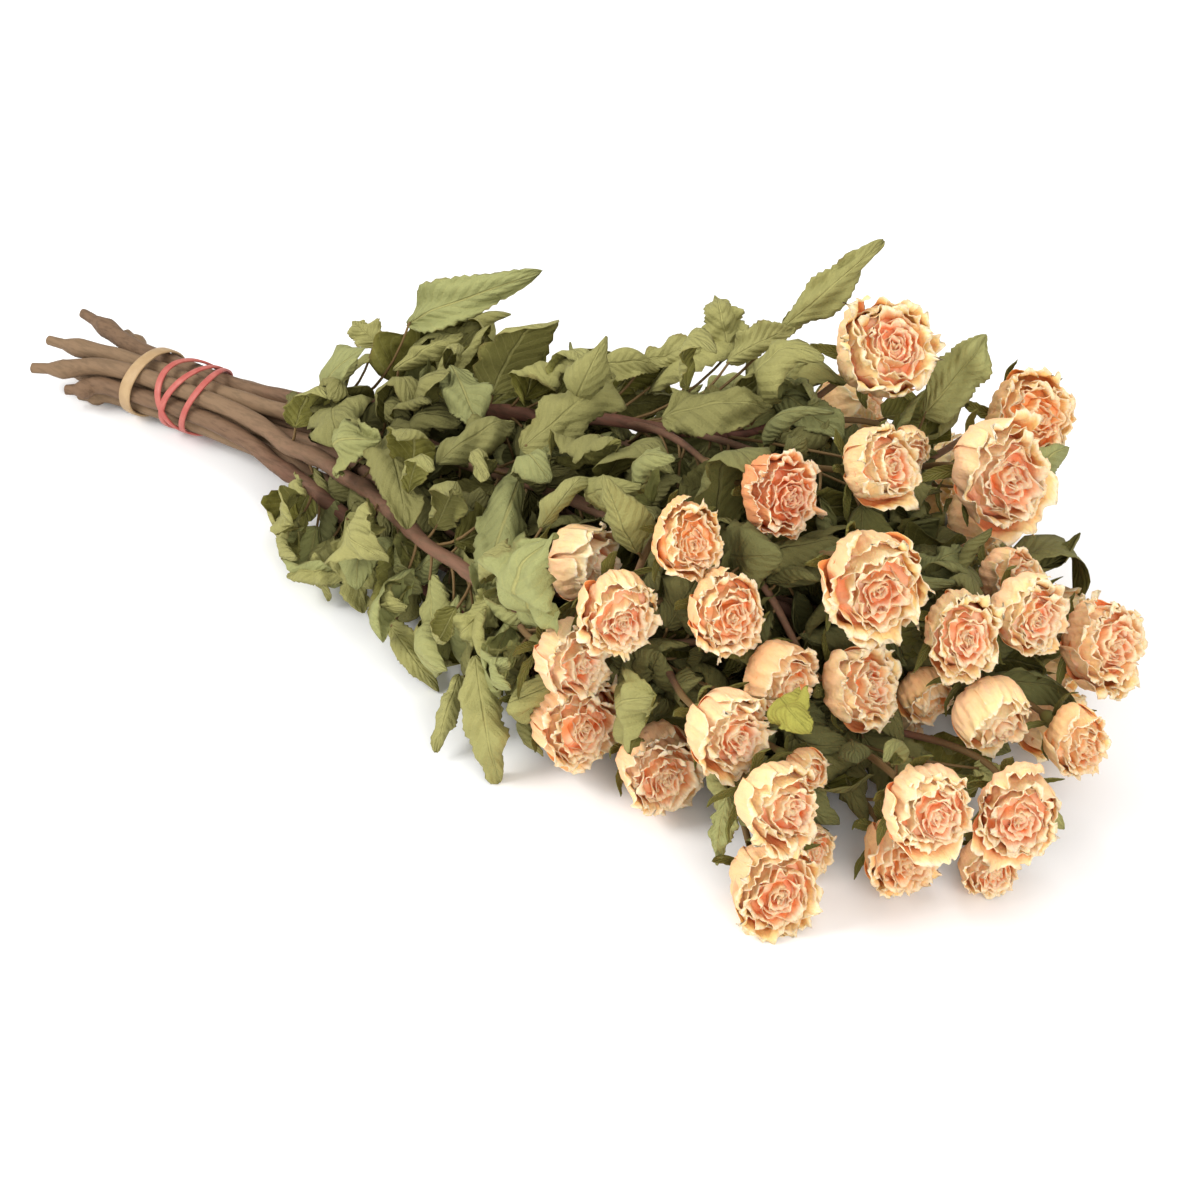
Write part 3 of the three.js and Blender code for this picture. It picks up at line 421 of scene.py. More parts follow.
# -------- the layout of the bunch
@dataclass(frozen=True)
class Spline:
    """A smooth run through points, with half the chord between a point's neighbours as its slope."""

    points: Array

    def at(self, share: Array) -> Array:
        """The points at shares of the run from 0 to 1.

        Args:
            share: places along the run, from 0 to 1.

        Returns:
            A point for each.
        """
        share = np.atleast_1d(np.asarray(share, float))
        spans = len(self.points) - 1
        first = 2 * self.points[0] - self.points[1]
        last = 2 * self.points[-1] - self.points[-2]
        known = np.vstack([first, self.points, last])
        place = np.clip(share, 0, 1) * spans
        span = np.minimum(place.astype(int), spans - 1)
        t = (place - span)[:, None]
        before, start, end, after = (known[span + step] for step in range(4))
        slope_in, slope_out = (end - before) / 2, (after - start) / 2
        squared = -3 * start + 3 * end - 2 * slope_in - slope_out
        cubed = 2 * start - 2 * end + slope_in + slope_out
        return start + slope_in * t + squared * t**2 + cubed * t**3

    def tangent(self, share: Array) -> Array:
        """The unit direction of the run at shares of it."""
        ahead = self.at(np.minimum(share + NEARBY, 1))
        return unit(ahead - self.at(np.maximum(share - NEARBY, 0)))

    def at_x(self, x: float) -> tuple[Array, Array]:
        """The point and direction of a stem at a given x, found by halving the stretch it lies in.

        Args:
            x: the place along the bunch, past the start of the tie.

        Returns:
            The point and the unit direction.
        """
        low, high = RUN["tie_start"] / (len(self.points) - 1), 1.0
        for _ in range(HALVINGS):
            middle = (low + high) / 2
            if self.at(middle)[0, 0] < x:
                low = middle
            else:
                high = middle
        return self.at(low)[0], self.tangent(low)[0]


def bezier(points: list[Array], share: Array) -> Array:
    """A Bezier curve's points, by repeated mixing of its control points.

    Args:
        points: the control points.
        share: how far along the curve, from 0 to 1.

    Returns:
        A point for each share.
    """
    share = np.asarray(share, float)[:, None]
    rows = [np.broadcast_to(point, (len(share), 3)) for point in points]
    while len(rows) > 1:
        rows = [a + (b - a) * share for a, b in zip(rows, rows[1:])]
    return rows[0]


def seat_at(x: float, row: int, seat: int) -> Array:
    """Where a stem's middle lies in the tie.

    Args:
        x: the place along the bunch.
        row, seat: the row of stems, from the lowest, and the stem's place in it.

    Returns:
        The point.
    """
    height = STEM["pitch"] * math.sin(math.pi / 3) * (row - 1)
    y = STEM["pitch"] * (seat - (STEM["rows"][row] - 1) / 2)
    return vec((x, y, TIE["height"] + height + (x - TIE["x"]) * TIE["slope"]))


def stem_run(name: str) -> Spline:
    """The run of a stem: cut end, shoulder, both ends of the tie, and its way on.

    Args:
        name: the stem's letter.

    Returns:
        The run.
    """
    cut, seat, way = STEMS[name]
    held = seat_at(TIE["start"], *seat)
    shoulder = mix(vec(cut), held, TAIL["share"])
    points = [vec(cut), shoulder, held, seat_at(TIE["end"], *seat), *map(vec, way)]
    return Spline(np.array(points))


def outward(point: Array) -> Array:
    """The way out from the middle of the bunch at a point."""
    middle = TIE["height"] + (point[0] - TIE["x"]) * BUNCH_RISE
    return unit(vec((0, point[1], point[2] - middle)))


def from_middle(points: Array) -> Array:
    """How far points lie from the line that runs through the middle of the bunch."""
    middle = TIE["height"] + (points[..., 0] - TIE["x"]) * BUNCH_RISE
    return np.hypot(points[..., 1] * BUNCH_FLATNESS, points[..., 2] - middle)


def painted_shade_share(point: Array) -> float:
    """How much painted shade a leaf gets: 1 for a point in the middle of the bunch, and 0 near its outline,
    with more inside at the roses.

    Args:
        point: a point of the layout.

    Returns:
        A share from 0 to 1.
    """
    share = from_middle(point) / np.interp(point[0], *BUNCH_OUTLINE)
    start = np.interp(point[0], PAINTED_SHADE["x"], PAINTED_SHADE["from"])
    return float(1 - smooth((share - start) / PAINTED_SHADE["over"]))


@dataclass(frozen=True)
class Head:
    """A rose's place on its stem.

    Attributes:
        number: its place in the list, from 0.
        stem: the stem that bears it.
        middle: the middle of the head.
        radius: half its width.
        axis: where it faces.
        form: open, cup or bud.
        warmth: how warm its colour is.
        order: how many roses of the same stem come before it.
    """

    number: int
    stem: str
    middle: Array
    radius: float
    axis: Array
    form: str
    warmth: float
    order: int

    @property
    def node(self) -> str:
        """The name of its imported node."""
        return f"rose_{self.number + 1:02d}"

    @property
    def in_view(self) -> bool:
        """Whether it shows in the photograph, as the first of the list do."""
        return self.number < SHOWING_ROSES

    @property
    def hip_end(self) -> Array:
        """The point where the swelling under the head ends."""
        return self.middle + self.axis * (self.radius * ROSE_BASE[self.form] - ROSE_GAP)

    def branch(self, run: Spline) -> list[Array]:
        """The control points of the side branch that carries the head.

        Args:
            run: the run of the stem that bears it.

        Returns:
            Four points, from the middle of the stem to the head's hip.
        """
        share = 1 - BRANCH["spread"] * (self.order + BRANCH["sunk"])
        start = run.at(share)[0]
        reach = float(np.linalg.norm(self.hip_end - start)) * BRANCH["reach"]
        return [
            start,
            start + run.tangent(share)[0] * reach,
            self.hip_end - self.axis * reach,
            self.hip_end,
        ]


def all_heads() -> list[Head]:
    """Every rose of the bunch, with its order on its stem.

    Returns:
        The heads, in the order of the list.
    """
    seen: dict[str, int] = {}
    heads = []
    for number, (stem, at, wide, turn, tilt, form, warmth) in enumerate(ROSES):
        yaw, pitch = math.radians(turn), math.radians(tilt)
        level = math.cos(pitch)
        axis = vec((math.cos(yaw) * level, math.sin(yaw) * level, math.sin(pitch)))
        order = seen.get(stem, 0)
        seen[stem] = order + 1
        heads.append(Head(number, stem, vec(at), wide / 2, axis, form, warmth, order))
    return heads


RUNS = {name: stem_run(name) for name in STEMS}
SHOWING_PLACES = [
    RUNS[name].at_x(x)[0]
    for name, start, end in SHOWING_WOOD
    for x in np.arange(start, end, SHOWING_STEP)
]
HEADS = all_heads()
STEM_NUMBER = {name: number for number, name in enumerate(STEMS)}
NODE_OF = {name: f"leafy_stem_{number + 1:02d}" for name, number in STEM_NUMBER.items()}


def layout_shift() -> Array:
    """How far the row's frame lies from the layout in millimetres, read from the natural band's box."""
    low, high = (np.array(corner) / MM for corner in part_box("rubber_band_natural"))
    return vec(((low[0] + high[0]) / 2 - NATURAL_BAND["x"], (low[1] + high[1]) / 2, 0.0))


SHIFT = layout_shift()


# -------- meshes
@lru_cache(maxsize=None)
def sheet_faces(rows: int, columns: int) -> Array:
    """The quads of a closed sheet: an upper and a lower grid, and a rim that joins them all round.

    Both grids are split along the same diagonals, so that they can't cross where the sheet is bent.

    Args:
        rows, columns: the points of a grid.

    Returns:
        Four point numbers for each quad.
    """
    index = np.arange(rows * columns).reshape(rows, columns)
    upper = np.stack([index[:-1, :-1], index[:-1, 1:], index[1:, 1:], index[1:, :-1]], -1).reshape(-1, 4)
    lower = upper[:, (0, 3, 2, 1)] + rows * columns
    edge = np.concatenate([index[0, :-1], index[:-1, -1], index[-1, :0:-1], index[:0:-1, 0]])
    after = np.roll(edge, -1)
    rim = np.stack([after, edge, edge + rows * columns, after + rows * columns], -1)
    return np.concatenate([upper, lower, rim])


@lru_cache(maxsize=None)
def tube_faces(rings: int, sides: int) -> tuple[Array, Array]:
    """The quads of a tube's wall, and the triangles that close its ends at two poles.

    Args:
        rings, sides: the points along the tube and round it.

    Returns:
        The quads and the triangles.
    """
    index = np.arange(rings * sides).reshape(rings, sides)
    after = np.roll(index, -1, axis=1)
    wall = np.stack([index[:-1], after[:-1], after[1:], index[1:]], -1).reshape(-1, 4)
    start, end = rings * sides, rings * sides + 1
    first = np.stack([np.full(sides, start), after[0], index[0]], -1)
    last = np.stack([np.full(sides, end), index[-1], after[-1]], -1)
    return wall, np.concatenate([first, last])


@dataclass
class Skin:
    """Closed surfaces gathered into one mesh.

    Each point carries two marks of three numbers: its place on its own surface, of which a tube only
    has the kind, and its tint.

    Attributes:
        name: the piece's name.
        points, places, tints: arrays for each surface that was added.
        quads, triangles: their faces, which may be quads only.
        count: how many points there are so far.
    """

    name: str
    points: list[Array] = field(default_factory=list)
    places: list[Array] = field(default_factory=list)
    tints: list[Array] = field(default_factory=list)
    quads: list[Array] = field(default_factory=list)
    triangles: list[Array] = field(default_factory=lambda: [np.zeros((0, 3), int)])
    count: int = 0

    def _add(self, points: Array, places: Array, tint: Array) -> int:
        """Adds points with their marks, none of them below the floor.

        Args:
            points, places: the points, and their places on their own surface.
            tint: three numbers for all of them.

        Returns:
            The number of the first point.
        """
        first = self.count
        self.points.append(np.maximum(points, (-math.inf, -math.inf, 0.0)))
        self.places.append(np.broadcast_to(places, points.shape))
        self.tints.append(np.broadcast_to(tint, points.shape))
        self.count += len(points)
        return first

    def add_sheet(self, grid: Array, thickness: Array, across: Array, along: Array, tint: Array) -> None:
        """Adds a thin closed sheet over a grid of points.

        Each face is the grid moved by half the thickness along its normal, which is the cross product
        of the grid's steps across and along. What would sink into the floor is pressed flat on it.

        Args:
            grid: rows by columns of points.
            thickness: one number, or one for each point.
            across, along: each point's place across the sheet, from -1 to 1, and along it, from 0 to 1.
            tint: three numbers for the whole sheet.
        """
        rows, columns, _ = grid.shape
        grid = np.concatenate([grid[..., :2], np.maximum(grid[..., 2:], FLOOR_GAP)], axis=-1)
        normal = unit(np.cross(np.gradient(grid, axis=1), np.gradient(grid, axis=0)))
        half = normal * (np.broadcast_to(thickness, (rows, columns))[..., None] / 2)
        both = np.concatenate([(grid + half).reshape(-1, 3), (grid - half).reshape(-1, 3)])
        upper = together(across, along, np.ones((rows, columns))).reshape(-1, 3)
        places = np.concatenate([upper, upper * (1, 1, -1)])
        first = self._add(both, places, tint)
        self.quads.append(sheet_faces(rows, columns) + first)

    def add_tube(self, path: Array, radii: Array, sides: int, kind: float, tint: Array) -> None:
        """Adds a closed tube along a path.

        Args:
            path, sides: the middle of each ring, and the points in one.
            radii: each ring's radius, or rings by sides of them.
            kind: the last number of the place mark, the same all over the tube or one for each ring.
            tint: three numbers for the whole tube.
        """
        rings = len(path)
        tangent = unit(np.gradient(path, axis=0))
        chord = unit(path[-1] - path[0])
        up = vec((0, 0, 1)) if abs(chord[2]) < STEEP else vec((0, 1, 0))
        normal = square_to(tangent, np.broadcast_to(up, tangent.shape))
        binormal = np.cross(tangent, normal)
        angle = np.arange(sides) / sides * math.tau
        radii = np.broadcast_to(np.asarray(radii, float).reshape(rings, -1), (rings, sides))
        ring = (
            path[:, None]
            + normal[:, None] * (radii * np.cos(angle))[..., None]
            + binormal[:, None] * (radii * np.sin(angle))[..., None]
        )
        points = np.concatenate([ring.reshape(-1, 3), path[:1], path[-1:]])
        kinds = np.broadcast_to(np.asarray(kind, float).reshape(-1, 1), (rings, sides)).ravel()
        places = together(0.0, 0.0, np.append(kinds, (kinds[0], kinds[-1])))
        first = self._add(points, places, tint)
        wall, caps = tube_faces(rings, sides)
        self.quads.append(wall + first)
        self.triangles.append(caps + first)

    def add_ring(self, grid: Array) -> None:
        """Adds a closed ring without marks.

        Args:
            grid: steps by section of points, both closed on themselves, the section anticlockwise.
        """
        steps, corners, _ = grid.shape
        index = np.arange(steps * corners).reshape(steps, corners)
        after, next_step = np.roll(index, -1, axis=1), np.roll(index, -1, axis=0)
        quads = np.stack([index, after, np.roll(after, -1, axis=0), next_step], -1).reshape(-1, 4)
        first = self._add(grid.reshape(-1, 3), np.zeros(3), np.zeros(3))
        self.quads.append(quads + first)

    def to_object(self, material: Material) -> bpy.types.Object:
        """Makes the mesh in metres in the row's frame, with its marks as point attributes.

        Args:
            material: the finish of the whole piece.

        Returns:
            The object, linked to the scene, at the origin.
        """
        mesh = bpy.data.meshes.new(self.name)
        points = (np.concatenate(self.points) + SHIFT) * MM
        quads, triangles = np.concatenate(self.quads), np.concatenate(self.triangles)
        corners = np.concatenate([quads.ravel(), triangles.ravel()])
        starts = np.concatenate([
            np.arange(len(quads)) * 4, len(quads) * 4 + np.arange(len(triangles)) * 3,
        ])
        mesh.vertices.add(len(points))
        mesh.loops.add(len(corners))
        mesh.polygons.add(len(starts))
        mesh.vertices.foreach_set("co", points.astype(np.float32).ravel())
        mesh.loops.foreach_set("vertex_index", corners.astype(np.int32))
        mesh.polygons.foreach_set("loop_start", starts.astype(np.int32))
        mesh.polygons.foreach_set("use_smooth", np.ones(len(starts), bool))
        for name, marks in (("place", self.places), ("tint", self.tints)):
            attribute = mesh.attributes.new(name, "FLOAT_VECTOR", "POINT")
            attribute.data.foreach_set("vector", np.concatenate(marks).astype(np.float32).ravel())
        mesh.update(calc_edges=True)
        mesh.materials.append(material)
        piece = bpy.data.objects.new(self.name, mesh)
        bpy.context.scene.collection.objects.link(piece)
        return piece


def settle(piece: bpy.types.Object, slot: str, nodes: list[str]) -> None:
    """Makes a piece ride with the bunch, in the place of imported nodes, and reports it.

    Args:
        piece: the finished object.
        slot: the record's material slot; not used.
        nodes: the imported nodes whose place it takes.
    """
    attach(piece, "root")
    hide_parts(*nodes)
    triangles = sum(len(polygon.vertices) - 2 for polygon in piece.data.polygons)
    log.info("%s: %d triangles, for %s", piece.name, triangles, ", ".join(nodes))


# -------- shader nodes
def srgb(red: int, green: int, blue: int) -> tuple[float, float, float, float]:
    """A screen colour, 0 to 255, as linear light.

    Args:
        red, green, blue: the channels on the screen.

    Returns:
        The linear channels, and 1 for opaque.
    """
    shares = (channel / 255 for channel in (red, green, blue))
    linear = [s / 12.92 if s <= 0.04045 else ((s + 0.055) / 1.055) ** 2.4 for s in shares]
    return (*linear, 1.0)


class Wire:
    """A socket of a material's nodes. Arithmetic on it adds Math nodes."""

    def __init__(self, graph: "Graph", socket: bpy.types.NodeSocket) -> None:
        """Keeps the graph that the socket belongs to."""
        self.graph = graph
        self.socket = socket

    def __add__(self, other: "Wire | float") -> "Wire":
        """This plus other."""
        return self.graph.math("ADD", self, other)

    def __sub__(self, other: "Wire | float") -> "Wire":
        """This minus other."""
        return self.graph.math("SUBTRACT", self, other)

    def __rsub__(self, other: float) -> "Wire":
        """A number minus this."""
        return self.graph.math("SUBTRACT", other, self)

    def __mul__(self, other: "Wire | float") -> "Wire":
        """This times other."""
        return self.graph.math("MULTIPLY", self, other)

    __radd__ = __add__
    __rmul__ = __mul__


class Graph:
    """The nodes of one material."""

    def __init__(self, name: str) -> None:
        """Makes an empty material with a Principled shader.

        Args:
            name: the material's name.
        """
        self.material = bpy.data.materials.new(name)
        self.material.use_nodes = True
        self.tree = self.material.node_tree
        self.shader = next(n for n in self.tree.nodes if n.type == "BSDF_PRINCIPLED")

    def node(self, kind: str, settings: Optional[dict] = None, **inputs: object) -> bpy.types.Node:
        """Adds a node.

        Args:
            kind: the node's type.
            settings: its properties, set before its sockets.
            inputs: values or wires by socket name, with _ for a space, or in_0, in_1 for a number.

        Returns:
            The node.
        """
        made = self.tree.nodes.new(kind)
        for key, value in (settings or {}).items():
            setattr(made, key, value)
        for key, value in inputs.items():
            name = int(key[3:]) if key.startswith("in_") else key.replace("_", " ")
            self.feed(made.inputs[name], value)
        return made

    def feed(self, socket: bpy.types.NodeSocket, value: object) -> None:
        """Links a wire to a socket, or sets the socket's own value.

        Args:
            socket: the socket to feed.
            value: a wire, or a number, colour or vector.
        """
        if isinstance(value, Wire):
            self.tree.links.new(value.socket, socket)
        else:
            socket.default_value = value

    def math(self, operation: str, a: object, b: object = 0.0) -> Wire:
        """A Math node on two values."""
        made = self.node("ShaderNodeMath", {"operation": operation}, in_0=a, in_1=b)
        return Wire(self, made.outputs[0])

    def blend(self, share: object, a: object, b: object, way: str = "MIX") -> Wire:
        """A colour mixed from two, by the numbered sockets that a Mix node keeps for colours.

        Args:
            share, a, b: how much of the second colour, and the two colours.
            way: the blend type.

        Returns:
            The mixed colour.
        """
        made = self.node(
            "ShaderNodeMix", {"data_type": "RGBA", "blend_type": way, "clamp_factor": True},
            in_0=share, in_6=a, in_7=b,
        )
        return Wire(self, made.outputs[2])

    def step(self, value: Wire, low: float, high: float) -> Wire:
        """A soft step from 0 to 1 as a value goes from low to high.

        Args:
            value, low, high: the value, and where the step starts and ends.

        Returns:
            The step.
        """
        made = self.node(
            "ShaderNodeMapRange", {"interpolation_type": "SMOOTHSTEP"},
            Value=value, From_Min=low, From_Max=high,
        )
        return Wire(self, made.outputs[0])

    def marks(self, name: str) -> tuple[Wire, Wire, Wire]:
        """The three numbers of a point attribute."""
        whole = Wire(self, self.node("ShaderNodeAttribute", {"attribute_name": name}).outputs["Vector"])
        return tuple(Wire(self, part) for part in self.node("ShaderNodeSeparateXYZ", Vector=whole).outputs)

    def spot(self) -> Wire:
        """The place in the object's own coordinates, in metres."""
        return Wire(self, self.node("ShaderNodeTexCoord").outputs["Object"])

    def join(self, x: object, y: object, z: object = 0.0) -> Wire:
        """A vector from three numbers."""
        return Wire(self, self.node("ShaderNodeCombineXYZ", X=x, Y=y, Z=z).outputs[0])

    def noise(self, vector: Wire, scale: float, detail: float = 3.0, rough: float = 0.55) -> Wire:
        """Soft noise around 0.5 on a vector."""
        made = self.node("ShaderNodeTexNoise", Vector=vector, Scale=scale, Detail=detail, Roughness=rough)
        return Wire(self, made.outputs[0])

    def bump(self, height: Wire, depth: float, strength: float = 1.0) -> Wire:
        """A normal disturbed by a height, whose full range is depth metres."""
        made = self.node("ShaderNodeBump", Height=height, Distance=depth, Strength=strength)
        return Wire(self, made.outputs[0])

    def finish(self, **inputs: object) -> Material:
        """Feeds the shader's sockets.

        Args:
            inputs: values or wires by socket name, with _ for a space.

        Returns:
            The material.
        """
        for key, value in inputs.items():
            self.feed(self.shader.inputs[key.replace("_", " ")], value)
        return self.material


# -------- finishes
# A finish holds its colours, the waves of each of its noises for a metre, and the depth of its relief in
# metres.
@dataclass(frozen=True)
class PetalFinish:
    """Dry petals: cream rims, peach faces that redden to the base, partly as painted shade of the crevices,
    and patches of gold, orange and coral.

    Attributes:
        fan: veins across a petal, how much each petal shifts them, and how they stretch along it.
    """

    rim: tuple = srgb(248, 230, 200)
    dry_edge: tuple = srgb(226, 166, 78)
    back: tuple = srgb(250, 223, 170)
    face: tuple = srgb(252, 216, 148)
    heart: tuple = srgb(254, 210, 174)
    # Orange at a petal's foot: partly its own colour, partly painted shade where the petals crowd together.
    foot_orange_and_painted_shade: tuple = srgb(250, 118, 28)
    blush: tuple = srgb(253, 202, 170)
    warm: tuple = srgb(252, 166, 66)
    coral: tuple = srgb(226, 104, 66)
    gold: tuple = srgb(251, 215, 142)
    clouds: float = 170.0
    flecks: float = 900.0
    wrinkles: float = 320.0
    blushes: float = 11.0
    fan: tuple[float, float, float] = (7.0, 40.0, 0.9)
    depth: float = 0.0013

    def build(self) -> Material:
        """Nodes: faces redden towards the base, partly as painted shade between the petals, backs stay cream
        above an orange foot, veins fan out and rims dry out.

        Returns:
            The material.
        """
        g = Graph("dried_petals")
        across, along, side = g.marks("place")
        warmth, tone, layer = g.marks("tint")
        spot = g.spot()
        cloud = g.noise(spot, self.clouds, 3.0)
        uneven = cloud - 0.5
        fleck = g.noise(spot, self.flecks, 4.0, 0.65)
        veins, shift, stretch = self.fan
        fan = g.noise(g.join(across * veins + tone * shift, along * stretch, tone * 9.0), 3.2, 3.0, 0.6)
        inner = g.step(side * -1.0, -0.4, 0.4)
        outside = g.step(layer, 0.3, 0.75)
        # Towards a petal's foot, which lies between the others: the mask of its own orange and of painted
        # shade.
        base = 1.0 - g.step(along + uneven * 0.3 + outside * 0.12, 0.68, 1.08)
        pink = g.noise(spot, self.blushes, 1.0)
        patches = g.step(cloud + (tone - 0.5) * 0.3 + (pink - 0.5) * 1.6, 0.4, 0.75)
        face = g.blend(outside, self.heart, g.blend(patches * 0.6, self.face, self.blush))
        # Painted shade together with the foot's own orange, on the faces and the backs.
        face = g.blend(base * (1.0 - outside * 0.4), face, self.foot_orange_and_painted_shade)
        back = g.blend(patches * 0.45, self.back, self.blush)
        back = g.blend(base * (0.85 - outside * 0.6), back, self.foot_orange_and_painted_shade)
        colour = g.blend(inner, back, face)
        golden = g.step(tone + uneven * 0.6, 0.35, 0.9) * (1.0 - base)
        colour = g.blend(golden * outside * 0.6, colour, self.gold)
        heat = warmth + uneven * 0.3
        colour = g.blend(g.step(heat, 0.35, 0.75) * (0.5 - outside * 0.2), colour, self.warm)
        colour = g.blend(g.step(heat, 0.75, 1.05) * (0.8 - outside * 0.3), colour, self.coral)
        rim = g.step(along + (fan - 0.5) * 0.14, 0.87, 1.0)
        colour = g.blend(rim * (0.6 + outside * 0.3), colour, self.rim)
        colour = g.blend(g.step(along + (fleck - 0.5) * 0.2, 0.96, 1.04) * 0.6, colour, self.dry_edge)
        colour = g.blend(g.step(fan, 0.5, 0.72) * 0.1, colour, self.warm)
        shade = g.blend(tone, (0.88, 0.88, 0.88, 1), (1.0, 1.0, 1.0, 1))
        colour = g.blend(1.0, colour, shade, "MULTIPLY")
        wrinkle = g.noise(spot, self.wrinkles, 2.0, 0.5)
        height = fan * 0.35 + fleck * 0.2 + cloud * 0.6 + wrinkle
        return g.finish(
            Base_Color=colour, Roughness=0.72 + fleck * 0.16, Normal=g.bump(height, self.depth, 0.65),
            Subsurface_Weight=0.2, Subsurface_Radius=(1.0, 0.4, 0.15), Subsurface_Scale=0.0012,
            Specular_IOR_Level=0.22,
        )


@dataclass(frozen=True)
class LeafFinish:
    """Dried leaves: sage to olive above, paler below, with lighter ribs, and painted shade that darkens those
    far inside the bunch.

    Attributes:
        veins, slant: side veins along a leaf, and how far they run on to its edge.
    """

    sage: tuple = srgb(156, 150, 72)
    olive: tuple = srgb(98, 94, 26)
    pale: tuple = srgb(158, 153, 96)
    rib: tuple = srgb(166, 160, 98)
    brown: tuple = srgb(108, 88, 42)
    # painted shade: the dark olive laid over leaves far inside the bunch, where shade falls
    inside: tuple = srgb(46, 42, 8)
    sepal: tuple = srgb(118, 116, 56)
    mist: tuple = srgb(142, 148, 98)
    fresh: tuple = srgb(160, 154, 66)
    clouds: float = 90.0
    grains: float = 1400.0
    veins: float = 9.5
    slant: float = 2.6
    depth: float = 0.003

    def build(self) -> Material:
        """Nodes: a light midrib, side veins that slant to the edge, clouds of olive, dry edges and painted
        shade inside the bunch.

        Returns:
            The material.
        """
        g = Graph("dried_leaves")
        across, along, side = g.marks("place")
        tone, dryness, painted_shade_and_sepal = g.marks("tint")
        spot = g.spot()
        cloud = g.noise(spot, self.clouds, 4.0, 0.6)
        uneven = cloud - 0.5
        grain = g.noise(spot, self.grains, 3.0, 0.6)
        off_rib = g.math("ABSOLUTE", across)
        run = along * self.veins - off_rib * self.slant + uneven * 0.5
        wave = g.math("ABSOLUTE", g.math("FRACT", run) - 0.5)
        sepal = g.step(painted_shade_and_sepal * -1.0, 0.2, 0.8)
        vein = (1.0 - g.step(wave, 0.0, 0.09)) * (1.0 - sepal)
        rib = 1.0 - g.step(off_rib, 0.02, 0.07)
        under = g.step(side * -1.0, -0.4, 0.4)
        top = g.blend(g.step(cloud + (tone - 0.5) * 1.1, 0.3, 0.75), self.olive, self.sage)
        colour = g.blend(under * 0.8, top, self.pale)
        colour = g.blend(dryness * 0.55, colour, self.pale)
        colour = g.blend(g.step(tone + uneven * 0.3, 0.5, 0.95) * 0.6, colour, self.mist)
        colour = g.blend(sepal, colour, self.sepal)
        colour = g.blend(vein * 0.35 + rib * 0.75, colour, self.rib)
        edge = g.step(off_rib + uneven * 0.5, 0.92, 1.05)
        colour = g.blend(edge * 0.5, colour, self.brown)
        colour = g.blend(g.step(grain, 0.3, 0.7) * 0.1, colour, self.pale)
        # Painted shade: leaves far inside the bunch darken towards dark olive.
        colour = g.blend(g.step(painted_shade_and_sepal, 0.0, 1.0) * 0.62, colour, self.inside)
        colour = g.blend(g.step(dryness * -1.0, 0.2, 0.8) * 0.85, colour, self.fresh)
        height = cloud * 0.6 + grain * 0.25 + wave * 0.4 - rib * 0.3
        return g.finish(
            Base_Color=colour, Roughness=0.7 + grain * 0.2, Normal=g.bump(height, self.depth, 0.8),
            Specular_IOR_Level=0.22,
        )


@dataclass(frozen=True)
class WoodFinish:
    """Stems: grey-brown at the cut end, redder among the leaves, green under the roses.

    Attributes:
        stretch: a streak's width, as a share of its length.
        reddens: where along the bunch the bark turns red, in metres.
    """

    bark: tuple = srgb(110, 84, 62)
    dark: tuple = srgb(68, 50, 36)
    red: tuple = srgb(104, 60, 48)
    green: tuple = srgb(112, 108, 56)
    straw: tuple = srgb(112, 88, 52)
    cut: tuple = srgb(176, 150, 112)
    streaks: float = 700.0
    clouds: float = 60.0
    stretch: float = 0.16
    reddens: Pair = (-0.17, -0.02)
    depth: float = 0.0005

    def build(self) -> Material:
        """Nodes: long streaks, a slow change of colour with x, and green where the kind mark says so.

        Returns:
            The material.
        """
        g = Graph("stem_wood")
        kind = g.marks("place")[2]
        tone = g.marks("tint")[0]
        spot = g.spot()
        x = Wire(g, g.node("ShaderNodeSeparateXYZ", Vector=spot).outputs[0])
        scale = (self.stretch, 1, 1)
        long = g.node("ShaderNodeMapping", {"vector_type": "POINT"}, Vector=spot, Scale=scale)
        streaks = g.noise(Wire(g, long.outputs[0]), self.streaks, 5.0, 0.6)
        cloud = g.noise(spot, self.clouds, 3.0)
        reddening = g.step(x + (cloud - 0.5) * 0.12, *self.reddens)
        colour = g.blend(reddening * 0.85, self.bark, self.red)
        colour = g.blend(g.step(streaks, 0.42, 0.66) * 0.55, colour, self.dark)
        colour = g.blend(tone * 0.25, colour, self.cut)
        colour = g.blend(g.step(kind, 0.15, 0.5), colour, self.straw)
        colour = g.blend(g.step(kind, 0.6, 1.0), colour, self.green)
        return g.finish(
            Base_Color=colour, Roughness=0.6 + streaks * 0.25, Normal=g.bump(streaks, self.depth, 0.6),
            Specular_IOR_Level=0.3,
        )


@dataclass(frozen=True)
class RubberFinish:
    """A rubber band of one colour, with paler dusty patches."""

    name: str
    colour: tuple
    pale: tuple
    clouds: float = 240.0
    grains: float = 2600.0
    depth: float = 0.00012

    def build(self) -> Material:
        """Nodes: soft clouds of a paler tone and a fine grain.

        Returns:
            The material.
        """
        g = Graph(self.name)
        spot = g.spot()
        cloud = g.noise(spot, self.clouds, 3.0)
        grain = g.noise(spot, self.grains, 3.0, 0.6)
        colour = g.blend(g.step(cloud, 0.35, 0.75) * 0.5, self.colour, self.pale)
        return g.finish(
            Base_Color=colour, Roughness=0.42 + grain * 0.2, Normal=g.bump(grain, self.depth, 0.5),
        )


NATURAL_RUBBER = RubberFinish("natural_rubber", srgb(164, 134, 94), srgb(186, 158, 116))
RED_RUBBER = RubberFinish("red_rubber", srgb(168, 78, 68), srgb(188, 112, 98))


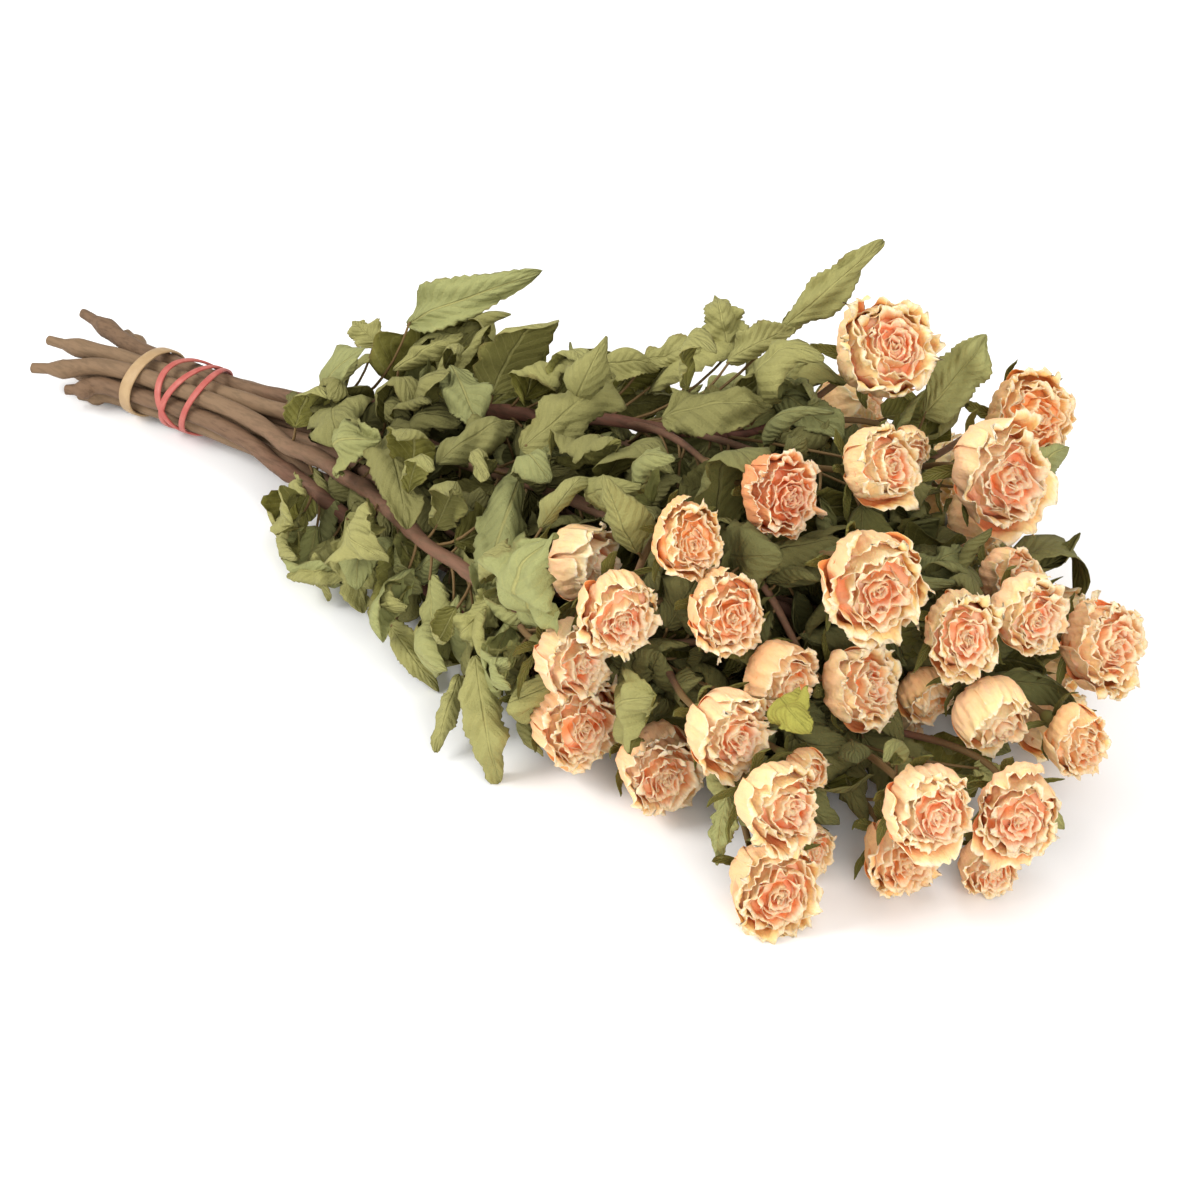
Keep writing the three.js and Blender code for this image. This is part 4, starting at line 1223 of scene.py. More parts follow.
# -------- leaves
@dataclass(frozen=True)
class Leaf:
    """A leaf blade.

    Attributes:
        base, tip: its ends.
        wide: its greatest width.
        face: the way its upper face looks.
        arch, roll, twist: degrees that its rib bends, its edges roll away and its tip turns.
    """

    base: Array
    tip: Array
    wide: float
    face: Array
    arch: float
    roll: float
    twist: float

    @property
    def length(self) -> float:
        """The straight distance from base to tip."""
        return float(np.linalg.norm(self.tip - self.base))

    def surface(self, s: Array, w: Array, half: Array) -> tuple[Array, Array]:
        """Points of the blade and its normals there.

        The rib is an arc over the line from base to tip, twisted along its run, and each section
        across it is an arc whose edges bend away from the face.

        Args:
            s: places along the blade, from 0 to 1.
            w: places across it, from -1 to 1.
            half: half the width of the blade at each place.

        Returns:
            The points and the unit normals.
        """
        s, w, half = np.broadcast_arrays(s, w, half)
        s, w, half = s[..., None], w[..., None], half[..., None]
        ahead = unit(self.tip - self.base)
        face = square_to(ahead, self.face)
        side = np.cross(face, ahead)
        arch = math.radians(self.arch)
        bow = self.length / (2 * math.sin(arch / 2))
        turn = arch * (s - 0.5)
        rib = self.base + ahead * bow * (np.sin(turn) + math.sin(arch / 2))
        rib = rib + face * bow * (np.cos(turn) - math.cos(arch / 2))
        tangent = ahead * np.cos(turn) - face * np.sin(turn)
        twist = math.radians(self.twist) * (s[..., 0] - 0.5)
        normal = turned(face * np.cos(turn) + ahead * np.sin(turn), tangent, twist)
        edge = turned(np.broadcast_to(side, tangent.shape), tangent, twist)
        roll = math.radians(self.roll) / 2
        points = rib + edge * half * np.sin(roll * w) / roll - normal * half * (1 - np.cos(roll * w)) / roll
        return points, unit(normal * np.cos(roll * w) + edge * np.sin(roll * w))

    def inside(self) -> Array:
        """A point of the rib just inside the blade, where the stalk ends."""
        return self.surface(np.array(LEAF["sink"] / self.length), np.array(0.0), np.array(0.0))[0]

    def swung(self, attempt: int) -> "Leaf":
        """The same leaf swung to one side of its base and lifted out, further with each try.

        Args:
            attempt: the try, from 0 for the leaf as it is.

        Returns:
            The swung leaf.
        """
        step = math.ceil(attempt / 2)
        swing = math.radians(TRIES["swing"] * step) * (1 if attempt % 2 else -1)
        base = self.base + outward(self.base) * TRIES["lift"] * step
        chord = turned(self.tip - self.base, unit(self.face), swing)
        return replace(self, base=base, tip=base + chord)

    def tip_corners(self) -> tuple[Array, Array]:
        """The two corners of a solid leaf's tip."""
        point, normal = self.surface(np.array(1.0), np.array(0.0), np.array(0.0))
        return point + normal * LEAF["thickness"] / 2, point - normal * LEAF["thickness"] / 2


def blade_outline(s: Array) -> Array:
    """A blade's half width at places along it, as a share of its greatest: sin(pi s^0.8)^0.75."""
    return np.sin(np.pi * s**0.8) ** 0.75


@dataclass(frozen=True)
class BladeMaker:
    """Makes the fine sheet of a leaf blade.

    Attributes:
        teeth: notches along each edge.
        columns: points across, odd, crowded at the rib and the edges.
        crumple: how far the dried blade buckles, as a share of its width.
    """

    teeth: int = 17
    columns: int = 15
    crumple: float = 0.25

    def add(self, skin: Skin, leaf: Leaf, seed: int, tint: tuple) -> None:
        """Adds a blade to a skin, with a notched edge, a buckled sheet and a hooked tip.

        Args:
            skin, leaf: what the blade is added to, and its smooth form.
            seed: for its notches, waves and bends.
            tint: three numbers for the whole blade.
        """
        s = np.linspace(*BLADE["ends"], self.teeth * 2 + 1)[:, None]
        even = np.linspace(-1, 1, self.columns)[None, :]
        w = np.sign(even) * np.abs(even) ** BLADE["crowding"]
        outline = blade_outline(s)
        notches = np.random.default_rng(seed).uniform(*BLADE["notch"], (len(s), 2))
        notches[1::2] *= BLADE["between_notches"]
        depth = np.where(w < 0, notches[:, :1], notches[:, 1:])
        notch = depth * np.clip((np.abs(w) - BLADE["notch_from"]) / BLADE["notch_over"], 0, 1)
        half = leaf.wide / 2 * np.maximum(outline * (1 - notch), BLADE["narrowest"])
        points, normals = leaf.surface(s, w, half)
        lift = self._lift(s, w, outline, seed) * leaf.wide
        tip = smooth((s - BLADE["hook_from"]) / BLADE["hook_over"]) ** 1.5
        hook = between(BLADE["hook"], seed, Trait.BLADE_HOOK) * leaf.wide * tip
        upright = normals[:, self.columns // 2, None]
        points = points + normals * lift[..., None] + upright * hook[..., None]
        thickness = LEAF["fine"] * (1 - LEAF["thinner"] * np.abs(w) ** 4)
        skin.add_sheet(points, thickness, w, s, np.array(tint))

    def _lift(self, s: Array, w: Array, outline: Array, seed: int) -> Array:
        """How far the dry sheet stands off its smooth form.

        The rib lies in a groove, both halves fold along it, and seeded waves buckle the sheet, most
        at its edges.

        Args:
            s, w: places along the blade and across it.
            outline: its half width along it, at its widest 1.
            seed: for the waves and the fold.

        Returns:
            Shares of the blade's width.
        """
        along, across = BLADE["laid"]
        flat = together(s * along, w * across)
        inner, outer = BLADE["buckle"]
        buckle = Ripples(seed, BLADE["buckle_waves"])(flat) * (inner + outer * w**2)
        inner, outer = BLADE["frill"]
        frill = Ripples(seed + 1, BLADE["frill_waves"])(flat) * (inner + outer * w**2)
        groove = -BLADE["groove"] * np.exp(-((w / BLADE["groove_width"]) ** 2)) * outline
        fold = between(BLADE["fold"], seed, Trait.BLADE_FOLD) * np.abs(w) * outline
        return groove + fold + self.crumple * (buckle + frill) * outline**0.5


SMALL_BLADE = BladeMaker(teeth=8, columns=7, crumple=0.1)
SEPAL_BLADE = BladeMaker(teeth=7, columns=7, crumple=0.1)


def stalk_path(root: Array, tangent: Array, lead: float, leaf: Leaf) -> Array:
    """A leaf stalk's points, from the middle of the stem to a point just inside the blade."""
    return bezier([root, root + tangent * lead, leaf.inside()], np.linspace(0, 1, PETIOLE["rings"]))


@dataclass
class Growth:
    """A leaf, its stalk's points or None where it shares another's, and whether it is the fresh one."""

    leaf: Leaf
    stalk: Optional[Array]
    fresh: bool = False


@dataclass
class PackedLeaves:
    """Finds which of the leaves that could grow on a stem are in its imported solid, and where."""

    stem: str
    found: KDTree = field(init=False)

    def __post_init__(self) -> None:
        """Indexes the solid's corners."""
        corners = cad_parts[NODE_OF[self.stem]].data.vertices
        self.found = KDTree(len(corners))
        for number, corner in enumerate(corners):
            self.found.insert(corner.co, number)
        self.found.balance()

    def grown(self, leaf: Leaf) -> Optional[Leaf]:
        """Finds the leaf as it was swung clear when it grew.

        Args:
            leaf: the leaf before it was swung.

        Returns:
            The swung leaf, or None where the solid doesn't have it.
        """
        near = FOUND_WITHIN * MM
        for attempt in range(TRIES["count"]):
            tried = leaf.swung(attempt)
            places = [Vector((corner + SHIFT) * MM) for corner in tried.tip_corners()]
            if all(self.found.find(place)[2] < near for place in places):
                return tried
        return None

    def showing(self) -> Iterator[Growth]:
        """The leaves of the list that grow on this stem.

        Returns:
            Each with its stalk.
        """
        run = RUNS[self.stem]
        for stem, base, tip, wide, face, arch, roll, twist in LEAVES:
            if stem != self.stem:
                continue
            leaf = self.grown(Leaf(vec(base), vec(tip), wide, vec(face), arch, roll, twist))
            if leaf is None:
                continue
            level = run.at_x(leaf.base[0])[0]
            ahead = PETIOLE["lead"] * np.linalg.norm(level - leaf.base)
            root, tangent = run.at_x(leaf.base[0] - ahead)
            lead = float(np.linalg.norm(root - leaf.base)) * PETIOLE["bend"]
            yield Growth(leaf, stalk_path(root, tangent, lead, leaf), base == FRESH_LEAF)

    def filling(self) -> Iterator[Growth]:
        """The leaves that grow at even steps along the stem: one at the end of a stalk and a pair.

        Returns:
            Each with its stalk, or no stalk for one of a pair.
        """
        order = STEM_NUMBER[self.stem]
        run = RUNS[self.stem]
        crown = run.at(1.0)[0, 0]
        x = FILL["from"] + between((0, FILL["spacing"] * FILL["jitter"]), order, Trait.FIRST_SHOOT)
        node = 0
        while x < crown:
            yield from self._shoot(run, x, order * ITEM["nodes"] + node)
            x += FILL["spacing"]
            node += 1

    def _shoot(self, run: Spline, x: float, item: int) -> Iterator[Growth]:
        """The leaves of one node: the first at the end of the stalk, and one to each side of its base.

        Args:
            run, x: the run of the stem, and the node's place along the bunch.
            item: the node's number, for its draws.

        Returns:
            Those that the solid has.
        """
        root, tangent = run.at_x(x)
        aim = math.radians(between(FILL["aim"], item, Trait.SHOOT_AIM))
        out = turned(outward(root), vec((1, 0, 0)), aim)
        ahead = unit(tangent + out * between(FILL["climb"], item, Trait.SHOOT_CLIMB))
        base = root + ahead * FILL["petiole"] * between(FILL["stalk"], item, Trait.SHOOT_STALK)
        lean = math.radians(between(FILL["lean"], item, Trait.SHOOT_LEAN))
        face = turned(square_to(ahead, out), ahead, lean)
        key = item * ITEM["leaflets"] + SEED["leaflet"]
        first = self.grown(self._leaflet(base, ahead, face, 1.0, key))
        if first is None:
            return
        yield Growth(first, stalk_path(root, tangent, FILL["lead"], first))
        for pair, side in enumerate((1, -1)):
            way = turned(ahead, face, math.radians(FILL["fan"] * side))
            leaflet = self.grown(self._leaflet(first.base, way, face, FILL["pair"], key + 1 + pair))
            if leaflet is not None:
                yield Growth(leaflet, None)

    @staticmethod
    def _leaflet(base: Array, way: Array, face: Array, share: float, key: int) -> Leaf:
        """One leaflet that grows from a point in a direction, with its drawn size and bends.

        Args:
            base, way, face: the point, the direction, and the way its upper face looks.
            share: its size, as a share of a first leaflet's.
            key: its number, for its draws.

        Returns:
            The leaflet.
        """
        longer, wider, *bends = (between(FILL[trait.name.lower()], key, trait) for trait in LeafletTrait)
        length = FILL["length"] * share * longer
        return Leaf(base, base + way * length, length * FILL["slim"] * wider, face, *bends)


def in_front(offset: Array, way: Array, depth: float, width: float) -> bool:
    """Whether any point lies in front of a place.

    Args:
        offset: the points, as seen from the place.
        way: the direction that counts as the front.
        depth, width: how far in front and how far aside still count.

    Returns:
        True where there is one.
    """
    ahead = offset @ way
    aside = np.linalg.norm(offset - ahead[:, None] * way, axis=1)
    return bool(((ahead > 0) & (ahead < depth) & (aside < width)).any())


@dataclass
class Filler:
    """Adds the smaller leaves that fill the bunch between the leaves of the solids.

    Attributes:
        spacing: millimetres between tries along a stem.
        branch_spacing: millimetres between tries along a rose's branch.
        length: shortest and longest blade.
        slim: width for each length.
        reach: nearest and furthest base from the wood.
        around, along, outwards: how far round the wood, along it and out of it a stalk sets off.
        aside, lean: radians that a blade turns from its stalk, and about its own line.
        bends: the least and the greatest arch, roll and twist, in degrees.
        lead: how far a stalk keeps to the wood.
        before: how far before the first packed leaf the filling starts.
        on_branch: the stretch of a branch that bears leaves.
        margin: how far a blade stays from a rose, as a share of the rose's radius.
        cover: how much of a rose's radius stays clear in front of it.
        in_view: how far towards the camera stays clear in front of roses and wood that show.
        before_face: how far stays clear in front of any rose's face.
        bare: how much room stays clear in front of wood that shows.
        wall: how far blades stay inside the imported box.
        tested: how many places along a blade are looked at, and how far out to each side.
    """

    spacing: float = 4.6
    branch_spacing: float = 6.0
    length: Pair = (26.0, 48.0)
    slim: Pair = (0.5, 0.75)
    reach: Pair = (3.0, 24.0)
    around: Pair = (-3.0, 3.0)
    along: Pair = (0.3, 1.2)
    outwards: Pair = (0.3, 1.0)
    aside: Pair = (-0.9, 0.9)
    lean: Pair = (-1.3, 1.3)
    bends: tuple[Pair, ...] = ((40.0, 140.0), (50.0, 170.0), (-60.0, 60.0))
    lead: float = 5.0
    before: float = 12.0
    on_branch: Pair = (0.1, 0.92)
    margin: float = 1.0
    cover: float = 0.8
    in_view: float = 90.0
    before_face: float = 22.0
    bare: float = 6.0
    wall: float = 1.5
    tested: tuple[int, float] = (7, 0.9)

    def grow(self, stem: str) -> Iterator[Growth]:
        """The filling leaves of one stem and its branches, at seeded places where they keep clear.

        Args:
            stem: the stem's letter.

        Returns:
            Each leaf with its stalk.
        """
        run = RUNS[stem]
        random = np.random.default_rng(SEED["filling"] + STEM_NUMBER[stem])
        crown = run.at(1.0)[0, 0]
        for x in np.arange(FILL["from"] - self.before, crown, self.spacing):
            yield from self._shoot(random, *run.at_x(x))
        for head in HEADS:
            if head.stem == stem:
                controls = head.branch(run)
                length = float(np.linalg.norm(controls[-1] - controls[0]))
                count = max(2, int(length / self.branch_spacing))
                path = bezier(controls, np.linspace(*self.on_branch, count))
                for root, tangent in zip(path, unit(np.gradient(path, axis=0))):
                    yield from self._shoot(random, root, tangent)

    def _shoot(self, random: np.random.Generator, root: Array, tangent: Array) -> Iterator[Growth]:
        """One leaf at a root, if it has room there.

        Args:
            random: the stem's source of draws, which are always made in the same order.
            root, tangent: where its stalk leaves the wood, and the wood's direction there.

        Returns:
            The leaf, or nothing.
        """
        around = turned(outward(root), vec((1, 0, 0)), random.uniform(*self.around))
        ahead = unit(tangent * random.uniform(*self.along) + around * random.uniform(*self.outwards))
        base = root + ahead * random.uniform(*self.reach)
        way = turned(ahead, around, random.uniform(*self.aside))
        face = turned(square_to(way, around), way, random.uniform(*self.lean))
        length = random.uniform(*self.length)
        bends = [random.uniform(*limits) for limits in self.bends]
        wide = length * random.uniform(*self.slim)
        leaf = Leaf(base, base + way * length, wide, face, *bends)
        if self.clear(leaf):
            yield Growth(leaf, stalk_path(root, tangent, self.lead, leaf))

    def clear(self, leaf: Leaf) -> bool:
        """Whether a blade keeps inside the bunch, out of every rose, and of the room in front of it.

        Args:
            leaf: the blade.

        Returns:
            True where it has room.
        """
        count, out = self.tested
        s, w = np.linspace(0, 1, count)[:, None], np.array([-out, 0.0, out])[None, :]
        half = leaf.wide / 2 * blade_outline(s)
        points = leaf.surface(s, w, half)[0].reshape(-1, 3)
        low, high = (np.array(corner) / MM - SHIFT for corner in CAD_BOX)
        if (points < low + self.wall).any() or (points > high - self.wall).any():
            return False
        if (from_middle(points) > np.interp(points[:, 0], *BUNCH_OUTLINE)).any():
            return False
        for head in HEADS:
            offset = points - head.middle
            if (np.linalg.norm(offset, axis=1) < head.radius * self.margin).any():
                return False
            if head.in_view and in_front(offset, VIEW, self.in_view, head.radius * self.cover):
                return False
            if in_front(offset, head.axis, self.before_face, head.radius * self.cover):
                return False
        return not any(in_front(points - place, VIEW, self.in_view, self.bare) for place in SHOWING_PLACES)


# -------- leafy stems
@dataclass
class LeafyStem:
    """A woody stem with its side branches, stalks, leaves and the green parts under its roses.

    Attributes:
        name: the stem's letter.
        wood, leaf: its finishes.
        sides: points round the stem.
        steps: rings along it.
    """

    name: str
    wood: Material
    leaf: Material
    sides: int = 16
    steps: int = 180

    def build(self) -> None:
        """Makes the stem's wood and its foliage, as two pieces in the place of its node."""
        wood = Skin(f"stem_{self.name}_wood")
        foliage = Skin(f"stem_{self.name}_leaves")
        self._trunk(wood)
        heads = [head for head in HEADS if head.stem == self.name]
        for head in heads:
            self._branch(wood, head)
            self._sepals(foliage, head)
        self._leaves(wood, foliage)
        node = [NODE_OF[self.name]]
        settle(wood.to_object(self.wood), "leafy_stem", node)
        settle(foliage.to_object(self.leaf), "leafy_stem", node)

    def _trunk(self, skin: Skin) -> None:
        """Adds the stem, with knotted bark that wanders a little once it is free of the tie.

        Args:
            skin: what it is added to.
        """
        run = RUNS[self.name]
        share = np.linspace(0, 1, self.steps)
        path = run.at(share)
        number = STEM_NUMBER[self.name]
        waves = [
            Ripples(number * ITEM["wander"] + axis, BARK["wander_waves"], 4)(path[:, :1]) for axis in range(3)
        ]
        free = smooth((path[:, 0] - TIE["end"] - BARK["free"]) / BARK["fade"])
        path = path + np.stack(waves, -1) * free[:, None] * (0, BARK["wander"], BARK["wander"])
        from_knot = np.mod(path[:, 0] + number * BARK["shift"], BARK["knots"]) - BARK["knots"] / 2
        bulge = np.exp(-(from_knot / BARK["knot"]) ** 2) * BARK["bulge"]
        radius = self._smooth_radius(share * (len(run.points) - 1), len(run.points) - 1) * (1 + bulge * free)
        turn = np.arange(self.sides) / self.sides * math.tau
        ways = (np.cos(turn)[None] * BARK["around"], np.sin(turn)[None] * BARK["around"])
        surface = together(path[:, :1] * BARK["along"], *ways)
        grain = Ripples(SEED["bark"] + number, BARK["grain_waves"])(surface) * BARK["grain"]
        skin.add_tube(path, radius[:, None] * (1 + grain), self.sides, MARK["bark"], self._tint(number))

    @staticmethod
    def _smooth_radius(place: Array, spans: int) -> Array:
        """The stem's radius without its knots: a thin tail, a knob behind it, and a slow taper.

        Args:
            place, spans: places along the stem in spans of its run, and how many it has.

        Returns:
            A radius for each place.
        """
        taper = np.clip((place - RUN["tie_end"]) / (spans - RUN["tie_end"]), 0, 1)
        knots = [0, TAIL["swells"], RUN["shoulder"], TAIL["settles"], RUN["tie_start"]]
        thin = TAIL["radius"]
        sizes = [thin * TAIL["cut"], thin, TAIL["shoulder"], STEM["radius"], STEM["radius"]]
        tapered = mix(STEM["radius"], STEM["crown"], taper)
        return np.where(place < RUN["tie_start"], np.interp(place, knots, sizes), tapered)

    @staticmethod
    def _tint(item: float) -> Array:
        """A piece of wood's drawn tone."""
        return np.array([draw(item, Trait.WOOD_TONE), 0.0, 0.0])

    def _branch(self, skin: Skin, head: Head) -> None:
        """Adds a side branch that thins out, then swells into the green hip under its rose.

        Args:
            skin: what it is added to.
            head: the rose that it carries.
        """
        share = np.concatenate([np.linspace(*part) for part in BRANCH["rings"]])
        path = bezier(head.branch(RUNS[self.name]), share)
        length = np.linalg.norm(np.diff(path, axis=0), axis=1).sum()
        left = (1 - share) * length
        swells = (0, HIP["length"] * HIP["full"], HIP["length"])
        hip = smooth(np.interp(left, swells, (HIP["neck"], 1.0, 0.0)))
        size = min(1.0, head.radius / HIP["rose"])
        swelling = (HIP["radius"] * size - BRANCH["radius"]) * hip
        radius = BRANCH["radius"] * (BRANCH["thick"] - BRANCH["thinner"] * share) + swelling
        greening = smooth((share - GREENING["from"]) / GREENING["over"])
        green = greening * GREENING["branch"] + hip * GREENING["hip"]
        wobble = Ripples(SEED["branch"] + head.number, BRANCH["waves"], 3)(path)[:, None] * BRANCH["wobble"]
        tint = self._tint(head.number + SEED["branch_tone"])
        skin.add_tube(path, radius[:, None] * (1 + wobble), BRANCH["sides"], green, tint)

    @staticmethod
    def _sepals(skin: Skin, head: Head) -> None:
        """Adds five pointed sepals that spread from the hip, apart from those that would reach the floor.

        Args:
            skin: what they are added to.
            head: their rose.
        """
        side = square_to(head.axis, vec((0, 0, 1)))
        across = np.cross(head.axis, side)
        for number in range(SEPALS["count"]):
            key = head.number * ITEM["sepals"] + number
            place = number + between(SEPALS["wander"], key, Trait.SEPAL_PLACE)
            angle = place / SEPALS["count"] * math.tau
            out = side * math.cos(angle) + across * math.sin(angle)
            opening, length, width, arch, twist = (
                between(SEPALS[trait.name.lower()], key, trait) for trait in SepalTrait
            )
            way = unit(head.axis * math.cos(opening) + out * math.sin(opening))
            base = head.hip_end - head.axis * SEPALS["below"] + out * HIP["radius"] * SEPALS["aside"]
            tip = base + way * head.radius * length
            if tip[2] < SEPALS["lowest"]:
                continue
            face = unit(head.axis * -math.sin(opening) + out * math.cos(opening))
            leaf = Leaf(base, tip, head.radius * width, face, arch, SEPALS["roll"], twist)
            tint = (draw(key, Trait.SEPAL_TONE), SEPALS["dryness"], MARK["sepal"])
            SEPAL_BLADE.add(skin, leaf, SEED["sepal"] + key, tint)

    def _leaves(self, wood: Skin, foliage: Skin) -> None:
        """Adds every leaf of the stem with its stalk: those of the solid, and the small ones between.

        Args:
            wood, foliage: what the stalks and the blades are added to.
        """
        packed = PackedLeaves(self.name)
        known = [*packed.showing(), *packed.filling()]
        extra = list(Filler().grow(self.name))
        log.info("stem %s: %d leaves of the solid, %d more", self.name, len(known), len(extra))
        for number, growth in enumerate(known + extra):
            seed = STEM_NUMBER[self.name] * ITEM["stem"] + number * ITEM["blade"]
            # How much painted shade the blade gets, more towards the middle of the bunch.
            inside = painted_shade_share(growth.leaf.surface(0.5, 0.0, 0.0)[0])
            dryness = MARK["fresh"] if growth.fresh else draw(seed, Trait.LEAF_DRYNESS) ** 2
            tint = (draw(seed, Trait.LEAF_TONE), dryness, inside)
            maker = BladeMaker() if number < len(known) else SMALL_BLADE
            maker.add(foliage, growth.leaf, seed, tint)
            if growth.stalk is not None:
                radii = PETIOLE["radius"] * np.linspace(*PETIOLE["taper"], len(growth.stalk))
                wood.add_tube(growth.stalk, radii, PETIOLE["sides"], MARK["stalk"], self._tint(seed))


# -------- roses
@dataclass(frozen=True)
class Whorl:
    """A group of petals. Each pair of values is for its innermost and its outermost petal.

    Attributes:
        petals: how many there are.
        grid: points along a petal and across it.
        belly: how far out a petal stands at its waist, in the rose's radii, as are all lengths.
        waist, rim: the heights where it stands upright and where it ends.
        lean, curl: degrees that its upper half leans out, and that its rim curls on.
        wrap: the half angle that it takes of its circle, in degrees.
        ruffle: how far its rim waves.
        spread: how much its tip wanders from one petal to the next.
    """

    petals: int
    grid: tuple[int, int]
    belly: Pair
    waist: Pair
    rim: Pair
    lean: Pair
    curl: Pair
    wrap: Pair
    ruffle: Pair
    spread: float


HEART_GRID, MIDDLE_GRID, OUTER_GRID = (7, 23), (10, 31), (13, 45)
CORE = {
    "radius": 0.8, "hole": 0.04, "drop": 0.35, "waves": 0.05, "frequency": 2.4, "along": 0.88, "layer": 0.3,
    "thickness": 0.3, "rings": 8, "around": 33, "open": 0.27, "cup": 0.33, "bud": 0.3,
}


class Stage(Enum):
    """The three ways a rose of this bunch has dried: its heart, its middle and its outer petals."""

    OPEN = (
        Whorl(petals=9, grid=HEART_GRID, belly=(0.05, 0.34), waist=(-0.1, -0.12), rim=(0.5, 0.58),
              lean=(-12, -6), curl=(10, 40), wrap=(150, 96), ruffle=(0.016, 0.05), spread=0.04),
        Whorl(petals=9, grid=MIDDLE_GRID, belly=(0.4, 0.71), waist=(-0.14, -0.16), rim=(0.6, 0.5),
              lean=(-12, -8), curl=(40, 60), wrap=(74, 62), ruffle=(0.05, 0.08), spread=0.1),
        Whorl(petals=7, grid=OUTER_GRID, belly=(0.74, 0.93), waist=(-0.16, -0.14), rim=(0.5, 0.34),
              lean=(-14, -2), curl=(60, 110), wrap=(60, 54), ruffle=(0.075, 0.1), spread=0.2),
    )
    CUP = (
        Whorl(petals=8, grid=HEART_GRID, belly=(0.06, 0.32), waist=(-0.1, -0.15), rim=(0.56, 0.66),
              lean=(-14, -10), curl=(8, 34), wrap=(150, 100), ruffle=(0.014, 0.04), spread=0.03),
        Whorl(petals=7, grid=MIDDLE_GRID, belly=(0.4, 0.68), waist=(-0.14, -0.16), rim=(0.7, 0.64),
              lean=(-14, -14), curl=(36, 54), wrap=(80, 68), ruffle=(0.04, 0.065), spread=0.08),
        Whorl(petals=6, grid=OUTER_GRID, belly=(0.76, 0.93), waist=(-0.18, -0.16), rim=(0.62, 0.44),
              lean=(-16, -8), curl=(50, 100), wrap=(64, 58), ruffle=(0.06, 0.085), spread=0.13),
    )
    BUD = (
        Whorl(petals=6, grid=HEART_GRID, belly=(0.08, 0.34), waist=(-0.1, -0.14), rim=(0.7, 0.8),
              lean=(-22, -26), curl=(10, 30), wrap=(150, 110), ruffle=(0.01, 0.03), spread=0.03),
        Whorl(petals=5, grid=MIDDLE_GRID, belly=(0.44, 0.76), waist=(-0.14, -0.12), rim=(0.8, 0.78),
              lean=(-30, -34), curl=(40, 70), wrap=(95, 80), ruffle=(0.04, 0.06), spread=0.08),
        Whorl(petals=5, grid=OUTER_GRID, belly=(0.82, 0.95), waist=(-0.14, -0.08), rim=(0.72, 0.5),
              lean=(-36, -30), curl=(70, 120), wrap=(74, 64), ruffle=(0.06, 0.09), spread=0.2),
    )


